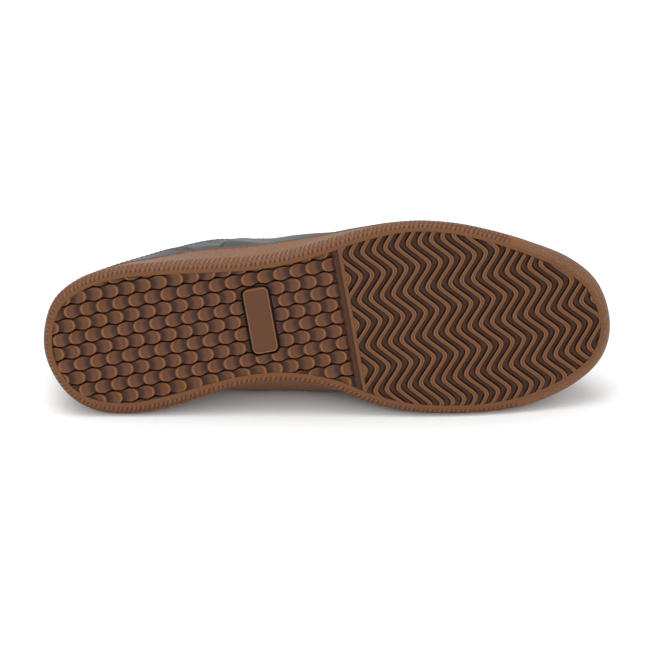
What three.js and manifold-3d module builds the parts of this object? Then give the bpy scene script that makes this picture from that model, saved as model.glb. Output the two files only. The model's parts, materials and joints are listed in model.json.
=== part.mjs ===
// Right low-top sneaker for a man's foot, EU 43, lying on its inner side. Lengths are in millimetres.
// Each form is worked out standing: x from the heel to the toe, y to the inner side, z up from the tread.
import * as THREE from 'three';
import { ConvexHull } from 'three/addons/math/ConvexHull.js';
import { mergeVertices } from 'three/addons/utils/BufferGeometryUtils.js';
import Module from 'manifold-3d';

const wasm = await Module();
wasm.setup();

// Driving dimensions of the shoe
const LENGTH = 300;            // tread, heel to toe, that the station table shares out
const BALL_WIDTH = 100;        // tread across the ball
const HEEL_HEIGHT = 79;        // ground to the collar behind the heel
const INSTEP_HEIGHT = 88;      // ground to the top lace holes
const CLEARANCE = 0.3;         // between two pieces that touch
const SIDE_CLEARANCE = 0.8;    // between the cup's slanted wall and the upper

// Sole
const WALL_HEIGHT = 27.5;      // cup wall at the heel
const BULGE = 5.5;             // the wall stands this far outside the tread
const BULGE_HEIGHT = 5.5;
const RIM = 2.0;               // flat border round the tread
const FLARE = 16;              // lip outside the tread at the arch
const LIP_WALL = 3.5;          // cup wall at its lip
const BAND_HEIGHT = 8.5;       // top of the textured lower band
const BAND_STEP = 0.7;
const FOOTBED_HEEL = 16;
const FOOTBED_BALL = 11;
const FOOTBED_SLOPE = [0.28, 0.62];   // shares of LENGTH between which the footbed falls
const FOOT_SHARE = 0.45;       // the footbed's edge lies at this share of the lip's flare
const FOOT_INSET = 1.5;        // and this far inside it
const DECK = 3;                // depth of the grooves in the tread
const ROOT = 0.6;              // the pattern's forms reach this far into the deck
const TOE_SPRING = 15;
const TOE_BREAK = 192;         // the sole lifts off the ground ahead of this line
const HEEL_SPRING = 2.5;
const HEEL_BREAK = 14;

// Tread pattern, turned with the mould's own axes
const PATTERN_TURN = THREE.MathUtils.degToRad(-6);
const DIVIDER_AT = 162.1;
const DIVIDER_WIDTH = 2.2;
const LANDING = 3.2;           // low strip on the heel side of the divider
const RIB_PITCH = 6.17;
const RIB_WIDTH = 2.2;
const WAVE_HEIGHT = 4.5;
const WAVE_LENGTH = 25.8;
const WAVE_CREST = 21.2;       // a crest's place across the tread
const SCALE_PITCH = 8.7;
const SCALE_ROW = 7.32;
const SCALE_WIDTH = 6.6;
const SCALE_LOW = 2.3;         // a scale's low end, above the ground
const SCALE_TIP = 62.1;        // a tip's place along the tread
const SCALE_SHIFT = 2.6;       // tips of the mirrored rows lie this far ahead
const SCALE_LINE = 8.2;        // middle of a row of forward scales
const PLATE = { x: 115.1, y: 9.6, length: 13.6, width: 36, corner: 3, groove: 1.2 };

// Upper and what is on it
const UPPER_WALL = 2.2;
const COLLAR_PAD = 2.6;        // foam added to the wall round the collar
const OVERLAY = 1.3;
const TRIM = 0.3;              // share of a level that an overlay leaves free at the lip and at the top
const SWEEP = { ease: 0.18, low: [0.36, 0.34], high: [0.36, 0.5], along: 0.93, up: 0.32 };   // side to throat
const INSOLE = 4;
const TONGUE = 3.4;
const TONGUE_RISE = 26;        // tongue above the top lace holes
const TONGUE_TAPER = 0.16;     // share of its width that the tongue loses above them
const TONGUE_OVERLAP = 0.84;   // how low on the upper's side the tongue's edge lies
const CROWN = 3.2;             // the instep's crown above the throat's edges
const MIDDLE_Y = 0.035 * BALL_WIDTH;   // middle of the throat
const THROAT = [0.44, 0.652];  // top and lowest lace holes, shares of LENGTH from the heel
const LACE_WIDTH = 7;
const LACE_THICK = 1.4;
const LACE_BOW = CROWN + 3;    // a crossing's rise over the instep
const LACE_LIFT = 1.9;         // lace above the overlay
const EYELETS = 6;
const EYELET_RADIUS = 2.2;
const EYELET_INSET = 9;        // hole's middle from the throat's edge
const PUNCH = 5 * UPPER_WALL;  // length of a hole's cutter

// Stations round the sole from the back of the heel by the outer side, the toe and the inner side.
// x and topX are shares of LENGTH, y and topY of BALL_WIDTH, bulge of BULGE, lip of FLARE, wall of
// WALL_HEIGHT, and topZ of HEEL_HEIGHT or, where throat is 1, of INSTEP_HEIGHT. belly leans the upper out.
const COLUMNS = ['x', 'y', 'bulge', 'lip', 'wall', 'belly', 'topX', 'topY', 'topZ', 'throat'];
const STATIONS = [
  [0.013, 0.045, 1.00, -0.02, 1.00, -0.18, 0.037, 0.030, 1.000, 0],
  [0.030, -0.163, 1.00, -0.06, 1.00, -0.26, 0.047, -0.060, 0.995, 0],
  [0.075, -0.268, 1.00, -0.02, 1.00, -0.20, 0.077, -0.130, 0.980, 0],
  [0.140, -0.317, 1.00, 0.05, 1.00, -0.12, 0.127, -0.185, 0.930, 0],
  [0.210, -0.320, 1.00, 0.20, 0.98, 0.06, 0.187, -0.240, 0.855, 0],
  [0.290, -0.312, 1.00, 0.40, 0.95, 0.14, 0.253, -0.296, 0.800, 0],
  [0.370, -0.306, 1.00, 0.44, 0.94, 0.02, 0.320, -0.308, 0.812, 0],
  [0.440, -0.322, 1.00, 0.42, 0.93, -0.36, 0.373, -0.262, 0.905, 0.15],
  [0.505, -0.362, 1.00, 0.30, 0.90, -0.52, 0.407, -0.224, 0.960, 0.7],
  [0.575, -0.416, 0.95, 0.14, 0.84, -0.46, 0.440, -0.205, 1.000, 1],
  [0.655, -0.447, 0.90, 0.06, 0.78, -0.22, 0.500, -0.170, 0.930, 1],
  [0.730, -0.420, 0.90, 0.06, 0.75, -0.12, 0.567, -0.145, 0.850, 1],
  [0.800, -0.350, 1.00, 0.10, 0.73, -0.05, 0.627, -0.120, 0.790, 1],
  [0.865, -0.260, 1.10, 0.14, 0.71, 0.00, 0.667, -0.090, 0.750, 1],
  [0.925, -0.145, 1.20, 0.18, 0.70, 0.00, 0.684, -0.050, 0.735, 1],
  [0.968, -0.005, 1.15, 0.18, 0.70, 0.00, 0.691, -0.004, 0.730, 1],
  [0.986, 0.185, 1.05, 0.18, 0.70, 0.00, 0.693, 0.040, 0.729, 1],
  [0.970, 0.340, 1.20, 0.18, 0.70, 0.00, 0.691, 0.084, 0.730, 1],
  [0.925, 0.446, 1.25, 0.18, 0.70, 0.00, 0.684, 0.130, 0.735, 1],
  [0.860, 0.516, 1.18, 0.16, 0.71, 0.00, 0.667, 0.165, 0.750, 1],
  [0.790, 0.542, 1.00, 0.05, 0.73, -0.05, 0.627, 0.192, 0.790, 1],
  [0.715, 0.533, 0.94, 0.00, 0.76, -0.05, 0.567, 0.216, 0.850, 1],
  [0.640, 0.500, 0.97, 0.06, 0.80, -0.10, 0.500, 0.240, 0.930, 1],
  [0.575, 0.434, 1.06, 0.36, 0.85, -0.14, 0.440, 0.265, 1.000, 1],
  [0.510, 0.338, 1.05, 0.86, 0.90, -0.10, 0.407, 0.292, 0.960, 0.7],
  [0.435, 0.279, 1.05, 1.04, 0.93, 0.00, 0.373, 0.320, 0.905, 0.15],
  [0.360, 0.271, 1.05, 1.00, 0.94, 0.14, 0.320, 0.366, 0.812, 0],
  [0.285, 0.305, 1.25, 0.62, 0.95, 0.12, 0.253, 0.356, 0.800, 0],
  [0.215, 0.350, 1.35, 0.24, 0.98, 0.00, 0.187, 0.284, 0.855, 0],
  [0.145, 0.374, 1.28, 0.04, 1.00, 0.00, 0.127, 0.245, 0.930, 0],
  [0.080, 0.340, 1.15, 0.00, 1.00, -0.06, 0.077, 0.190, 0.980, 0],
  [0.035, 0.232, 1.05, 0.08, 1.00, -0.10, 0.047, 0.120, 0.995, 0],
].map((row) => Object.fromEntries(COLUMNS.map((name, k) => [name, row[k]])));

const STEPS = 2;               // columns of faces for each station
const COUNT = STATIONS.length * STEPS;
const HEIGHTS = [0, 0.14, 0.32, 0.52, 0.72, 0.9, 1];   // levels of the upper, lip to edge

// A station column's value at a place round the sole, where each whole number is a station.
function smooth(key, place) {
  const n = STATIONS.length;
  const i = Math.floor(place);
  const f = place - i;
  const [a, b, c, d] = [-1, 0, 1, 2].map((k) => STATIONS[(i + k + n) % n][key]);
  return b + 0.5 * f * (c - a + f * (2 * a - 5 * b + 4 * c - d + f * (3 * (b - c) + d - a)));
}

function mix(a, b, f) {
  return a + (b - a) * f;
}

// How far the sole is lifted off the ground: all of it at the toe, and only its underside at the heel.
function spring(x, z = WALL_HEIGHT) {
  const toe = Math.max(0, (x - TOE_BREAK) / (LENGTH - TOE_BREAK));
  const heel = Math.max(0, (HEEL_BREAK - x) / HEEL_BREAK);
  return TOE_SPRING * toe * toe + HEEL_SPRING * heel * heel * Math.max(0, 1 - z / BAND_HEIGHT);
}

// The sole's edge and the upper's top edge at each column, with the outward direction of the sole.
const EDGE = Array.from({ length: COUNT }, (_, i) => {
  const place = i / STEPS;
  const point = (at) => new THREE.Vector2(smooth('x', at) * LENGTH, smooth('y', at) * BALL_WIDTH);
  const along = point(place + 0.05).sub(point(place - 0.05)).normalize();
  const throat = THREE.MathUtils.clamp(smooth('throat', place), 0, 1);
  const height = smooth('topZ', place) * mix(HEEL_HEIGHT, INSTEP_HEIGHT, throat);
  return {
    at: point(place),
    out: new THREE.Vector2(along.y, -along.x),
    bulge: smooth('bulge', place) * BULGE,
    lip: smooth('lip', place) * FLARE,
    wall: smooth('wall', place) * WALL_HEIGHT,
    belly: smooth('belly', place),
    top: new THREE.Vector3(smooth('topX', place) * LENGTH, smooth('topY', place) * BALL_WIDTH, height),
    throat,
  };
});

// A ring of points, a given distance outside the tread's edge and above the unsprung ground.
function ring(outside, height) {
  return EDGE.map((e) => {
    const p = e.at.clone().addScaledVector(e.out, outside(e));
    return new THREE.Vector3(p.x, p.y, height(e, p.x));
  });
}

function lifted(points) {
  return points.map((p) => new THREE.Vector3(p.x, p.y, p.z + spring(p.x)));
}

function solid(points, index) {
  const geometry = new THREE.BufferGeometry().setFromPoints(points);
  geometry.setIndex(index);
  return geometry;
}

// Faces across a ring, from each outer column to the inner column opposite it.
function cap(first, upward) {
  const index = [];
  const face = (a, b, c) => index.push(...(upward ? [a, b, c] : [c, b, a]).map((k) => first + k));
  for (let i = 0; i < COUNT / 2; i += 1) {
    const far = (COUNT - i) % COUNT;
    if (i > 0) face(i, i + 1, far);
    if (i < COUNT / 2 - 1) face(i + 1, COUNT - i - 1, far);
  }
  return index;
}

// A closed form through rings: round like a tube's wall, or with a cap at each end.
function loft(rings, hollow) {
  const index = [];
  const points = rings.flat();
  const last = hollow ? rings.length : rings.length - 1;
  for (let k = 0; k < last; k += 1) {
    const low = k * COUNT;
    const high = ((k + 1) % rings.length) * COUNT;
    for (let i = 0; i < COUNT; i += 1) {
      const j = (i + 1) % COUNT;
      const [a, b, c, d] = [low + i, low + j, high + j, high + i];
      const rising = points[a].distanceTo(points[c]) < points[b].distanceTo(points[d]);
      index.push(...(rising ? [a, b, c, a, c, d] : [a, b, d, b, c, d]));
    }
  }
  if (!hollow) index.push(...cap(0, false), ...cap(last * COUNT, true));
  return solid(points, index);
}

function toManifold(geometry) {
  const bare = geometry.clone();
  bare.deleteAttribute('normal');
  bare.deleteAttribute('uv');
  const merged = mergeVertices(bare, 1e-4);
  const vertProperties = new Float32Array(merged.attributes.position.array);
  const triVerts = new Uint32Array(merged.index.array);
  return new wasm.Manifold(new wasm.Mesh({ numProp: 3, vertProperties, triVerts }));
}

function toGeometry(body) {
  const mesh = body.getMesh();
  const geometry = new THREE.BufferGeometry();
  geometry.setAttribute('position', new THREE.BufferAttribute(mesh.vertProperties, 3));
  geometry.setIndex(new THREE.BufferAttribute(mesh.triVerts, 1));
  return geometry;
}

function joined(geometries) {
  return geometries.map(toManifold).reduce((whole, piece) => whole.add(piece));
}

function extruded(outline, low, high) {
  const shape = outline instanceof THREE.Shape ? outline : new THREE.Shape(outline);
  const form = new THREE.ExtrudeGeometry(shape, { depth: high - low, bevelEnabled: false, curveSegments: 3 });
  return form.translate(0, 0, low);
}

// Sole

function footbed(x) {
  const [start, end] = FOOTBED_SLOPE;
  const f = THREE.MathUtils.smoothstep(x, LENGTH * start, LENGTH * end);
  return mix(FOOTBED_HEEL, FOOTBED_BALL, f);
}

const insideLip = (e) => e.lip - LIP_WALL;
const floorEdge = (e) => FOOT_SHARE * e.lip - FOOT_INSET;

function cup() {
  const low = () => DECK;
  const at = (height) => () => height;
  const wallAt = (height, e) => mix(e.bulge, e.lip, (height - BULGE_HEIGHT) / (e.wall - BULGE_HEIGHT));
  return loft([
    ring(() => 0, low),
    ring(() => 0, at(0)),
    ring(() => RIM, at(0)),
    ring((e) => mix(RIM, e.bulge, 0.62), at(0.2 * BULGE_HEIGHT)),
    ring((e) => e.bulge, at(BULGE_HEIGHT)),
    ring((e) => wallAt(BAND_HEIGHT, e), at(BAND_HEIGHT)),
    ring((e) => wallAt(BAND_HEIGHT, e) - BAND_STEP, at(BAND_HEIGHT + BAND_STEP)),
    ring((e) => e.lip - BAND_STEP / 2, (e) => e.wall - LIP_WALL / 2),
    ring((e) => e.lip, (e) => e.wall - LIP_WALL / 3),
    ring((e) => e.lip - LIP_WALL / 3, (e) => e.wall),
    ring(insideLip, (e) => e.wall),
    ring(floorEdge, (e, x) => footbed(x)),
  ], false);
}

// A rib runs from crest to trough of its wave, right across the tread.
function rib(at) {
  const half = WAVE_LENGTH / 2;
  const reach = Math.ceil(BALL_WIDTH / WAVE_LENGTH);
  const line = (offset) => Array.from({ length: 2 * reach + 1 }, (_, k) => {
    const side = (k + reach) % 2 === 0 ? 1 : -1;
    return new THREE.Vector2(at + side * WAVE_HEIGHT + offset, WAVE_CREST + (k - reach) * half);
  });
  const thick = RIB_WIDTH / 2 * Math.hypot(1, 4 * WAVE_HEIGHT / WAVE_LENGTH);
  return extruded([...line(thick), ...line(-thick).reverse()], 0, DECK + ROOT);
}

function ribs() {
  const first = DIVIDER_AT - 1;
  const count = Math.ceil((LENGTH * 1.02 - first) / RIB_PITCH);
  const strips = Array.from({ length: count }, (_, k) => rib(first + k * RIB_PITCH));
  const divider = block(DIVIDER_AT, DIVIDER_AT + DIVIDER_WIDTH, 0);
  const ahead = toManifold(block(DIVIDER_AT + DIVIDER_WIDTH / 2, LENGTH * 1.2, -1));
  return joined(strips).intersect(ahead).add(toManifold(divider));
}

function block(from, to, low) {
  const side = BALL_WIDTH;
  const corners = [[from, -side], [to, -side], [to, side], [from, side]];
  return extruded(corners.map(([x, y]) => new THREE.Vector2(x, y)), low, DECK + 1);
}

// A row of scales: each rises from the deck to its tip, toward the toe or, in every second row, the heel.
function scaleRow(r) {
  const forward = r % 2 === 0;
  const tip = forward ? SCALE_TIP : SCALE_TIP + SCALE_SHIFT;
  const first = -Math.ceil(tip / SCALE_PITCH);
  const last = Math.floor((DIVIDER_AT - LANDING - tip) / SCALE_PITCH);
  const heights = forward ? [SCALE_LOW, 0] : [0, SCALE_LOW];
  const outline = [];
  for (let k = first; k < last; k += 1) {
    outline.push([tip + k * SCALE_PITCH, heights[0]], [tip + (k + 1) * SCALE_PITCH, heights[1]]);
  }
  outline.push([tip + last * SCALE_PITCH, DECK + ROOT], [tip + first * SCALE_PITCH, DECK + ROOT]);
  const row = extruded(outline.map(([x, z]) => new THREE.Vector2(x, z)), -SCALE_WIDTH / 2, SCALE_WIDTH / 2);
  return row.rotateX(Math.PI / 2).translate(0, SCALE_LINE + r * SCALE_ROW, 0);
}

function roundedPlate(grow, low, high) {
  const w = PLATE.length / 2 + grow;
  const h = PLATE.width / 2 + grow;
  const r = PLATE.corner + grow;
  const shape = new THREE.Shape();
  for (const [x, y, turn] of [[w - r, r - h, -1], [w - r, h - r, 0], [r - w, h - r, 1], [r - w, r - h, 2]]) {
    shape.absarc(x, y, r, turn * Math.PI / 2, (turn + 1) * Math.PI / 2, false);
  }
  return extruded(shape, low, high).translate(PLATE.x, PLATE.y, 0);
}

function tread() {
  const cut = toManifold(roundedPlate(PLATE.groove, -1, DECK + 1));
  const rows = Math.ceil(0.6 * BALL_WIDTH / SCALE_ROW);
  const scales = joined(Array.from({ length: 2 * rows + 1 }, (_, k) => scaleRow(k - rows)));
  const pattern = scales.subtract(cut).add(toManifold(roundedPlate(0, 0, DECK + ROOT))).add(ribs());
  const outline = ring(() => ROOT, () => 0).map((p) => new THREE.Vector2(p.x, p.y));
  const turned = toGeometry(pattern).rotateZ(PATTERN_TURN);
  return toManifold(turned).intersect(toManifold(extruded(outline, -ROOT, DECK + ROOT)));
}

function outsole() {
  const geometry = toGeometry(toManifold(cup()).add(tread()));
  const position = geometry.attributes.position;
  for (let i = 0; i < position.count; i += 1) {
    const z = position.getZ(i);
    position.setZ(i, z + spring(position.getX(i), z));
  }
  return geometry;
}

// Upper

// Outer surface of the upper: rings inside the cup and at each level from the lip to the top edge.
function upperRings() {
  const foot = lifted(ring((e) => floorEdge(e) - SIDE_CLEARANCE, (e, x) => footbed(x) + CLEARANCE));
  const lip = lifted(ring((e) => insideLip(e) - SIDE_CLEARANCE, (e) => e.wall));
  const levels = HEIGHTS.map((f) => EDGE.map((e, i) => {
    const from = lip[i];
    const span = e.top.clone().sub(from);
    const reach = span.length();
    const flat = new THREE.Vector3(span.x, span.y, 0);
    const over = Math.min(1, flat.length() / reach) * e.throat;
    const rise = new THREE.Vector3(e.out.x * e.belly, e.out.y * e.belly, 1).normalize();
    const ease = new THREE.Vector3(-e.out.x * SWEEP.ease, -e.out.y * SWEEP.ease, 1).normalize();
    const arrive = flat.clone().normalize().multiplyScalar(SWEEP.along).setZ(SWEEP.up);
    const end = ease.lerp(arrive, Math.pow(over, 0.7)).normalize();
    const a = from.clone().addScaledVector(rise, reach * mix(...SWEEP.low, over));
    const b = e.top.clone().addScaledVector(end, -reach * mix(...SWEEP.high, over));
    return new THREE.CubicBezierCurve3(from, a, b, e.top).getPoint(f);
  }));
  return [foot, ...levels];
}

const OUTER = upperRings();

// Outward direction of the upper at a level and column.
const NORMALS = OUTER.map((level, k) => level.map((p, i) => {
  const across = level[(i + 1) % COUNT].clone().sub(level[(i + COUNT - 1) % COUNT]);
  const up = OUTER[Math.min(k + 1, OUTER.length - 1)][i].clone().sub(OUTER[Math.max(k - 1, 0)][i]);
  const out = across.cross(up).normalize();
  return k === 0 ? out.setZ(0).normalize() : out;
}));

// A level of the upper, moved out or in along its outward direction.
function layer(k, distance) {
  return OUTER[k].map((p, i) => p.clone().addScaledVector(NORMALS[k][i], distance(EDGE[i], HEIGHTS[k - 1] ?? 0)));
}

function wallThickness(e, height) {
  const pad = THREE.MathUtils.smoothstep(height, 0.5, 0.9) * (1 - e.throat);
  return UPPER_WALL + COLLAR_PAD * pad;
}

function upper() {
  const levels = OUTER.map((_, k) => k);
  const outside = levels.map((k) => layer(k, () => 0));
  const within = levels.map((k) => layer(k, (e, f) => -wallThickness(e, f)));
  const top = OUTER.length - 1;
  const edge = EDGE.map((e, i) => {
    const middle = outside[top][i].clone().add(within[top][i]).multiplyScalar(0.5);
    const up = OUTER[top][i].clone().sub(OUTER[top - 1][i]).normalize();
    return middle.addScaledVector(up, wallThickness(e, 1) * 0.32);
  });
  return loft([...outside, edge, ...within.reverse()], true);
}

// A skin over the upper, from just above the sole's lip to just under the top edge.
function skin() {
  const levels = OUTER.map((_, k) => k).slice(1);
  const shift = (distance) => levels.map((k) => layer(k, () => distance));
  const trim = (rings) => {
    const [a, b] = rings;
    const [y, z] = rings.slice(-2);
    rings[0] = a.map((p, i) => p.clone().lerp(b[i], TRIM));
    rings[rings.length - 1] = z.map((p, i) => p.clone().lerp(y[i], TRIM));
    return rings;
  };
  return toManifold(loft([...trim(shift(CLEARANCE + OVERLAY)), ...trim(shift(CLEARANCE)).reverse()], true));
}

// A form that stands across the shoe, from its outline in side view.
function acrossShoe(points) {
  const shape = new THREE.Shape();
  points.forEach(([x, z], k) => (k === 0 ? shape.moveTo : shape.lineTo).call(shape, x * LENGTH, z * HEEL_HEIGHT));
  const width = BALL_WIDTH * 2;
  const form = new THREE.ExtrudeGeometry(shape, { depth: width, bevelEnabled: false });
  return form.rotateX(Math.PI / 2).translate(0, width / 2, 0);
}

// Side view of the counter: front corner at the sole, up the slanted front and back along the collar.
const COUNTER_VIEW = [[-0.2, 0], [0.298, 0], [0.285, 0.36], [0.262, 0.56], [0.232, 0.68], [0.18, 0.75],
  [0.1, 0.8], [0.03, 0.84], [-0.2, 0.86]];
// Side view of the saddle and the eyestay ahead of it, from the sole behind to the sole in front.
const STAY_VIEW = [[0.306, 0], [0.322, 0.42], [0.352, 0.68], [0.372, 0.86], [0.384, 1.4], [0.78, 1.4],
  [0.742, 0.72], [0.68, 0.68], [0.6, 0.66], [0.545, 0.55], [0.53, 0.4], [0.535, 0]];

function counter() {
  return toGeometry(skin().intersect(toManifold(acrossShoe(COUNTER_VIEW))));
}

// Middle and direction of each lace hole, worked out on the throat's own edge.
function eyelets() {
  const top = OUTER.length - 1;
  const holes = [];
  for (const side of [-1, 1]) {
    for (let k = 0; k < EYELETS; k += 1) {
      const x = mix(...THROAT, k / (EYELETS - 1)) * LENGTH;
      const columns = EDGE.map((e, i) => i).filter((i) => EDGE[i].throat > 0.6 && Math.sign(EDGE[i].out.y) === side);
      const i = columns.reduce((a, b) => (Math.abs(EDGE[a].top.x - x) < Math.abs(EDGE[b].top.x - x) ? a : b));
      const j = EDGE[i].top.x > x === (side === 1) ? (i + 1) % COUNT : i - 1;
      const share = THREE.MathUtils.clamp((x - EDGE[i].top.x) / (EDGE[j].top.x - EDGE[i].top.x), 0, 1);
      const along = (level) => OUTER[level][i].clone().lerp(OUTER[level][j], share);
      const down = along(top - 2).sub(along(top)).normalize();
      holes.push({
        side,
        row: k,
        at: along(top).addScaledVector(down, EYELET_INSET),
        out: NORMALS[top - 1][i].clone(),
        down,
      });
    }
  }
  return holes;
}

const HOLES = eyelets();

function punched(body) {
  const pins = HOLES.map(({ at, out }) => {
    const pin = new THREE.CylinderGeometry(EYELET_RADIUS, EYELET_RADIUS, PUNCH, 6);
    pin.applyQuaternion(new THREE.Quaternion().setFromUnitVectors(new THREE.Vector3(0, 1, 0), out));
    return pin.translate(at.x, at.y, at.z);
  });
  return toGeometry(body.subtract(joined(pins)));
}

function eyestay() {
  return punched(skin().intersect(toManifold(acrossShoe(STAY_VIEW))));
}

function insole() {
  const edge = (e, x) => {
    const bed = footbed(x);
    const lean = Math.min(0, (insideLip(e) - floorEdge(e)) * INSOLE / (e.wall - bed));
    return floorEdge(e) + 1.2 * lean - 2 * SIDE_CLEARANCE - UPPER_WALL;
  };
  const level = (lift) => lifted(ring((e) => edge(e, e.at.x), (e, x) => footbed(x) + lift));
  return loft([level(CLEARANCE), level(CLEARANCE + INSOLE)], false);
}

// Cross section of the instep under or over the throat: points from the outer side to the inner side.
function instep(x, reach, distance) {
  const top = OUTER.length - 1;
  const side = (sign) => {
    const columns = EDGE.map((e, i) => i).filter((i) => EDGE[i].throat > 0.9 && Math.sign(EDGE[i].top.y
      - MIDDLE_Y) === sign);
    const sorted = columns.sort((a, b) => EDGE[a].top.x - EDGE[b].top.x);
    let k = sorted.findIndex((i) => EDGE[i].top.x > x);
    if (k < 0) k = sorted.length - 1;
    k = Math.max(k, 1);
    const [i, j] = [sorted[k - 1], sorted[k]];
    const f = (x - EDGE[i].top.x) / (EDGE[j].top.x - EDGE[i].top.x);
    const at = (height) => {
      const level = THREE.MathUtils.clamp(HEIGHTS.findIndex((h) => h >= height), 1, HEIGHTS.length - 1);
      const g = (height - HEIGHTS[level - 1]) / (HEIGHTS[level] - HEIGHTS[level - 1]);
      const point = (c) => OUTER[level][c].clone().lerp(OUTER[level + 1][c], g);
      const normal = (c) => NORMALS[level][c].clone().lerp(NORMALS[level + 1][c], g);
      return point(i).lerp(point(j), f).addScaledVector(normal(i).lerp(normal(j), f).normalize(), distance);
    };
    return [at(reach), at((1 + reach) / 2), at(1)];
  };
  const outer = side(-1);
  const inner = side(1).reverse();
  const a = outer[2];
  const b = inner[0];
  const crown = [0.25, 0.5, 0.75].map((f) => {
    const p = a.clone().lerp(b, f);
    p.z += CROWN * 4 * f * (1 - f);
    return p;
  });
  return [...outer, ...crown, ...inner];
}

// A closed form through open sections, each a row of upper points and the same row of lower points.
function slab(sections) {
  const n = sections[0].length;
  const index = [];
  sections.slice(1).forEach((_, s) => {
    for (let k = 0; k < n; k += 1) {
      const a = s * n + k;
      const b = s * n + (k + 1) % n;
      index.push(a, b, b + n, a, b + n, a + n);
    }
  });
  const half = n / 2;
  const end = (first, flip) => {
    for (let k = 0; k < half - 1; k += 1) {
      const quad = [k, k + 1, n - 2 - k, n - 1 - k].map((v) => first + v);
      const [a, b, c, d] = flip ? quad.reverse() : quad;
      index.push(a, b, c, a, c, d);
    }
  };
  end(0, true);
  end((sections.length - 1) * n, false);
  return solid(sections.flat(), index);
}

function tongue() {
  const depth = (x) => UPPER_WALL + SIDE_CLEARANCE + COLLAR_PAD * THREE.MathUtils.smoothstep(-x / LENGTH, -0.5, -0.45);
  const under = (x, extra) => instep(x, TONGUE_OVERLAP, -depth(x) - extra);
  const [top, low] = THROAT;
  const places = Array.from({ length: 6 }, (_, k) => mix(low, top, k / 5) * LENGTH + 1);
  const sections = places.map((x) => [under(x, 0), under(x, TONGUE).reverse()].flat());
  const base = sections[sections.length - 1];
  const slope = new THREE.Vector3().subVectors(base[4], sections[sections.length - 2][4]).normalize();
  for (const share of [0.4, 0.8, 1]) {
    const squeeze = 1 - TONGUE_TAPER * share * share;
    sections.push(base.map((p) => {
      const q = p.clone().addScaledVector(slope, TONGUE_RISE * share);
      q.y = MIDDLE_Y + (q.y - MIDDLE_Y) * squeeze;
      return q;
    }));
  }
  return slab(sections);
}

// A flat strip of lace from one hole to another, over the instep.
function strip(from, to) {
  const steps = 4;
  const lift = OVERLAY + LACE_LIFT;
  const sections = [];
  const start = from.at.clone().addScaledVector(from.down, -EYELET_RADIUS - 1);
  const end = to.at.clone().addScaledVector(to.down, -EYELET_RADIUS - 1);
  const run = end.clone().sub(start).setZ(0).normalize();
  const side = new THREE.Vector3(-run.y, run.x, 0);
  for (let k = 0; k <= steps; k += 1) {
    const f = k / steps;
    const p = start.clone().lerp(end, f);
    const out = from.out.clone().lerp(to.out, f);
    out.addScaledVector(run, -out.dot(run) * 0.2).normalize();
    p.z += LACE_BOW * 4 * f * (1 - f);
    p.addScaledVector(out, lift);
    const wide = side.clone().addScaledVector(out, -side.dot(out)).normalize().multiplyScalar(LACE_WIDTH / 2);
    const low = [p.clone().sub(wide), p.clone().add(wide)];
    const high = low.map((q) => q.clone().addScaledVector(out, LACE_THICK));
    sections.push([low[0], low[1], high[1], high[0]]);
  }
  return slab(sections);
}

// One flat lace: a bar across the lowest holes, then a crossing at each row up to the top holes.
function lace() {
  const hole = (side, row) => HOLES.find((h) => h.side === side && h.row === row);
  const strips = [strip(hole(-1, EYELETS - 1), hole(1, EYELETS - 1))];
  for (let k = 1; k < EYELETS; k += 1) {
    strips.push(strip(hole(-1, k), hole(1, k - 1)), strip(hole(1, k), hole(-1, k - 1)));
  }
  return toGeometry(joined(strips));
}

// Materials and the whole

const gum = { color: 0x8a5a3c, roughness: 0.62, metalness: 0 };
const leather = { color: 0x34373c, roughness: 0.5, metalness: 0 };
const foam = { color: 0x2b2b2d, roughness: 0.9, metalness: 0 };
const cotton = { color: 0x2c2e31, roughness: 0.95, metalness: 0 };
const DENSITY = new Map([[gum, 1200], [leather, 900], [foam, 300], [cotton, 500]]);

const pieces = [
  ['outsole', outsole(), gum],
  ['insole', insole(), foam],
  ['upper', punched(toManifold(upper())), leather],
  ['heel_counter', counter(), leather],
  ['eyestay', eyestay(), leather],
  ['tongue', tongue(), leather],
  ['lace', lace(), cotton],
];

// Middle of mass, from the signed tetrahedra of every face.
function massCentre() {
  const sum = new THREE.Vector3();
  let mass = 0;
  for (const [, geometry, finish] of pieces) {
    const position = geometry.attributes.position;
    const corner = (k) => new THREE.Vector3().fromBufferAttribute(position, geometry.index.getX(k));
    for (let k = 0; k < geometry.index.count; k += 3) {
      const [a, b, c] = [corner(k), corner(k + 1), corner(k + 2)];
      const part = a.dot(b.clone().cross(c)) / 6 * DENSITY.get(finish);
      sum.addScaledVector(a.add(b).add(c), part / 4);
      mass += part;
    }
  }
  return sum.divideScalar(mass);
}

// The turn that lays the shoe on the face of its hull, on the inner side, that carries the mass.
function lyingTurn() {
  const points = pieces.flatMap(([, geometry]) => {
    const position = geometry.attributes.position;
    return Array.from({ length: position.count }, (_, i) => new THREE.Vector3().fromBufferAttribute(position, i));
  });
  const centre = massCentre();
  const face = new ConvexHull().setFromPoints(points).faces.find((one) => {
    if (one.normal.y < 0.8) return false;
    const foot = centre.clone().addScaledVector(one.normal, -one.distanceToPoint(centre));
    const corners = [one.getEdge(0), one.getEdge(1), one.getEdge(2)].map((edge) => edge.head().point);
    return new THREE.Triangle(...corners).containsPoint(foot);
  });
  const down = face.normal;
  const ahead = new THREE.Vector3(1, 0, 0).addScaledVector(down, -down.x).normalize();
  const up = down.clone().negate();
  const basis = new THREE.Matrix4().makeBasis(ahead, up.clone().cross(ahead), up);
  return new THREE.Quaternion().setFromRotationMatrix(basis.transpose());
}

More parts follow.
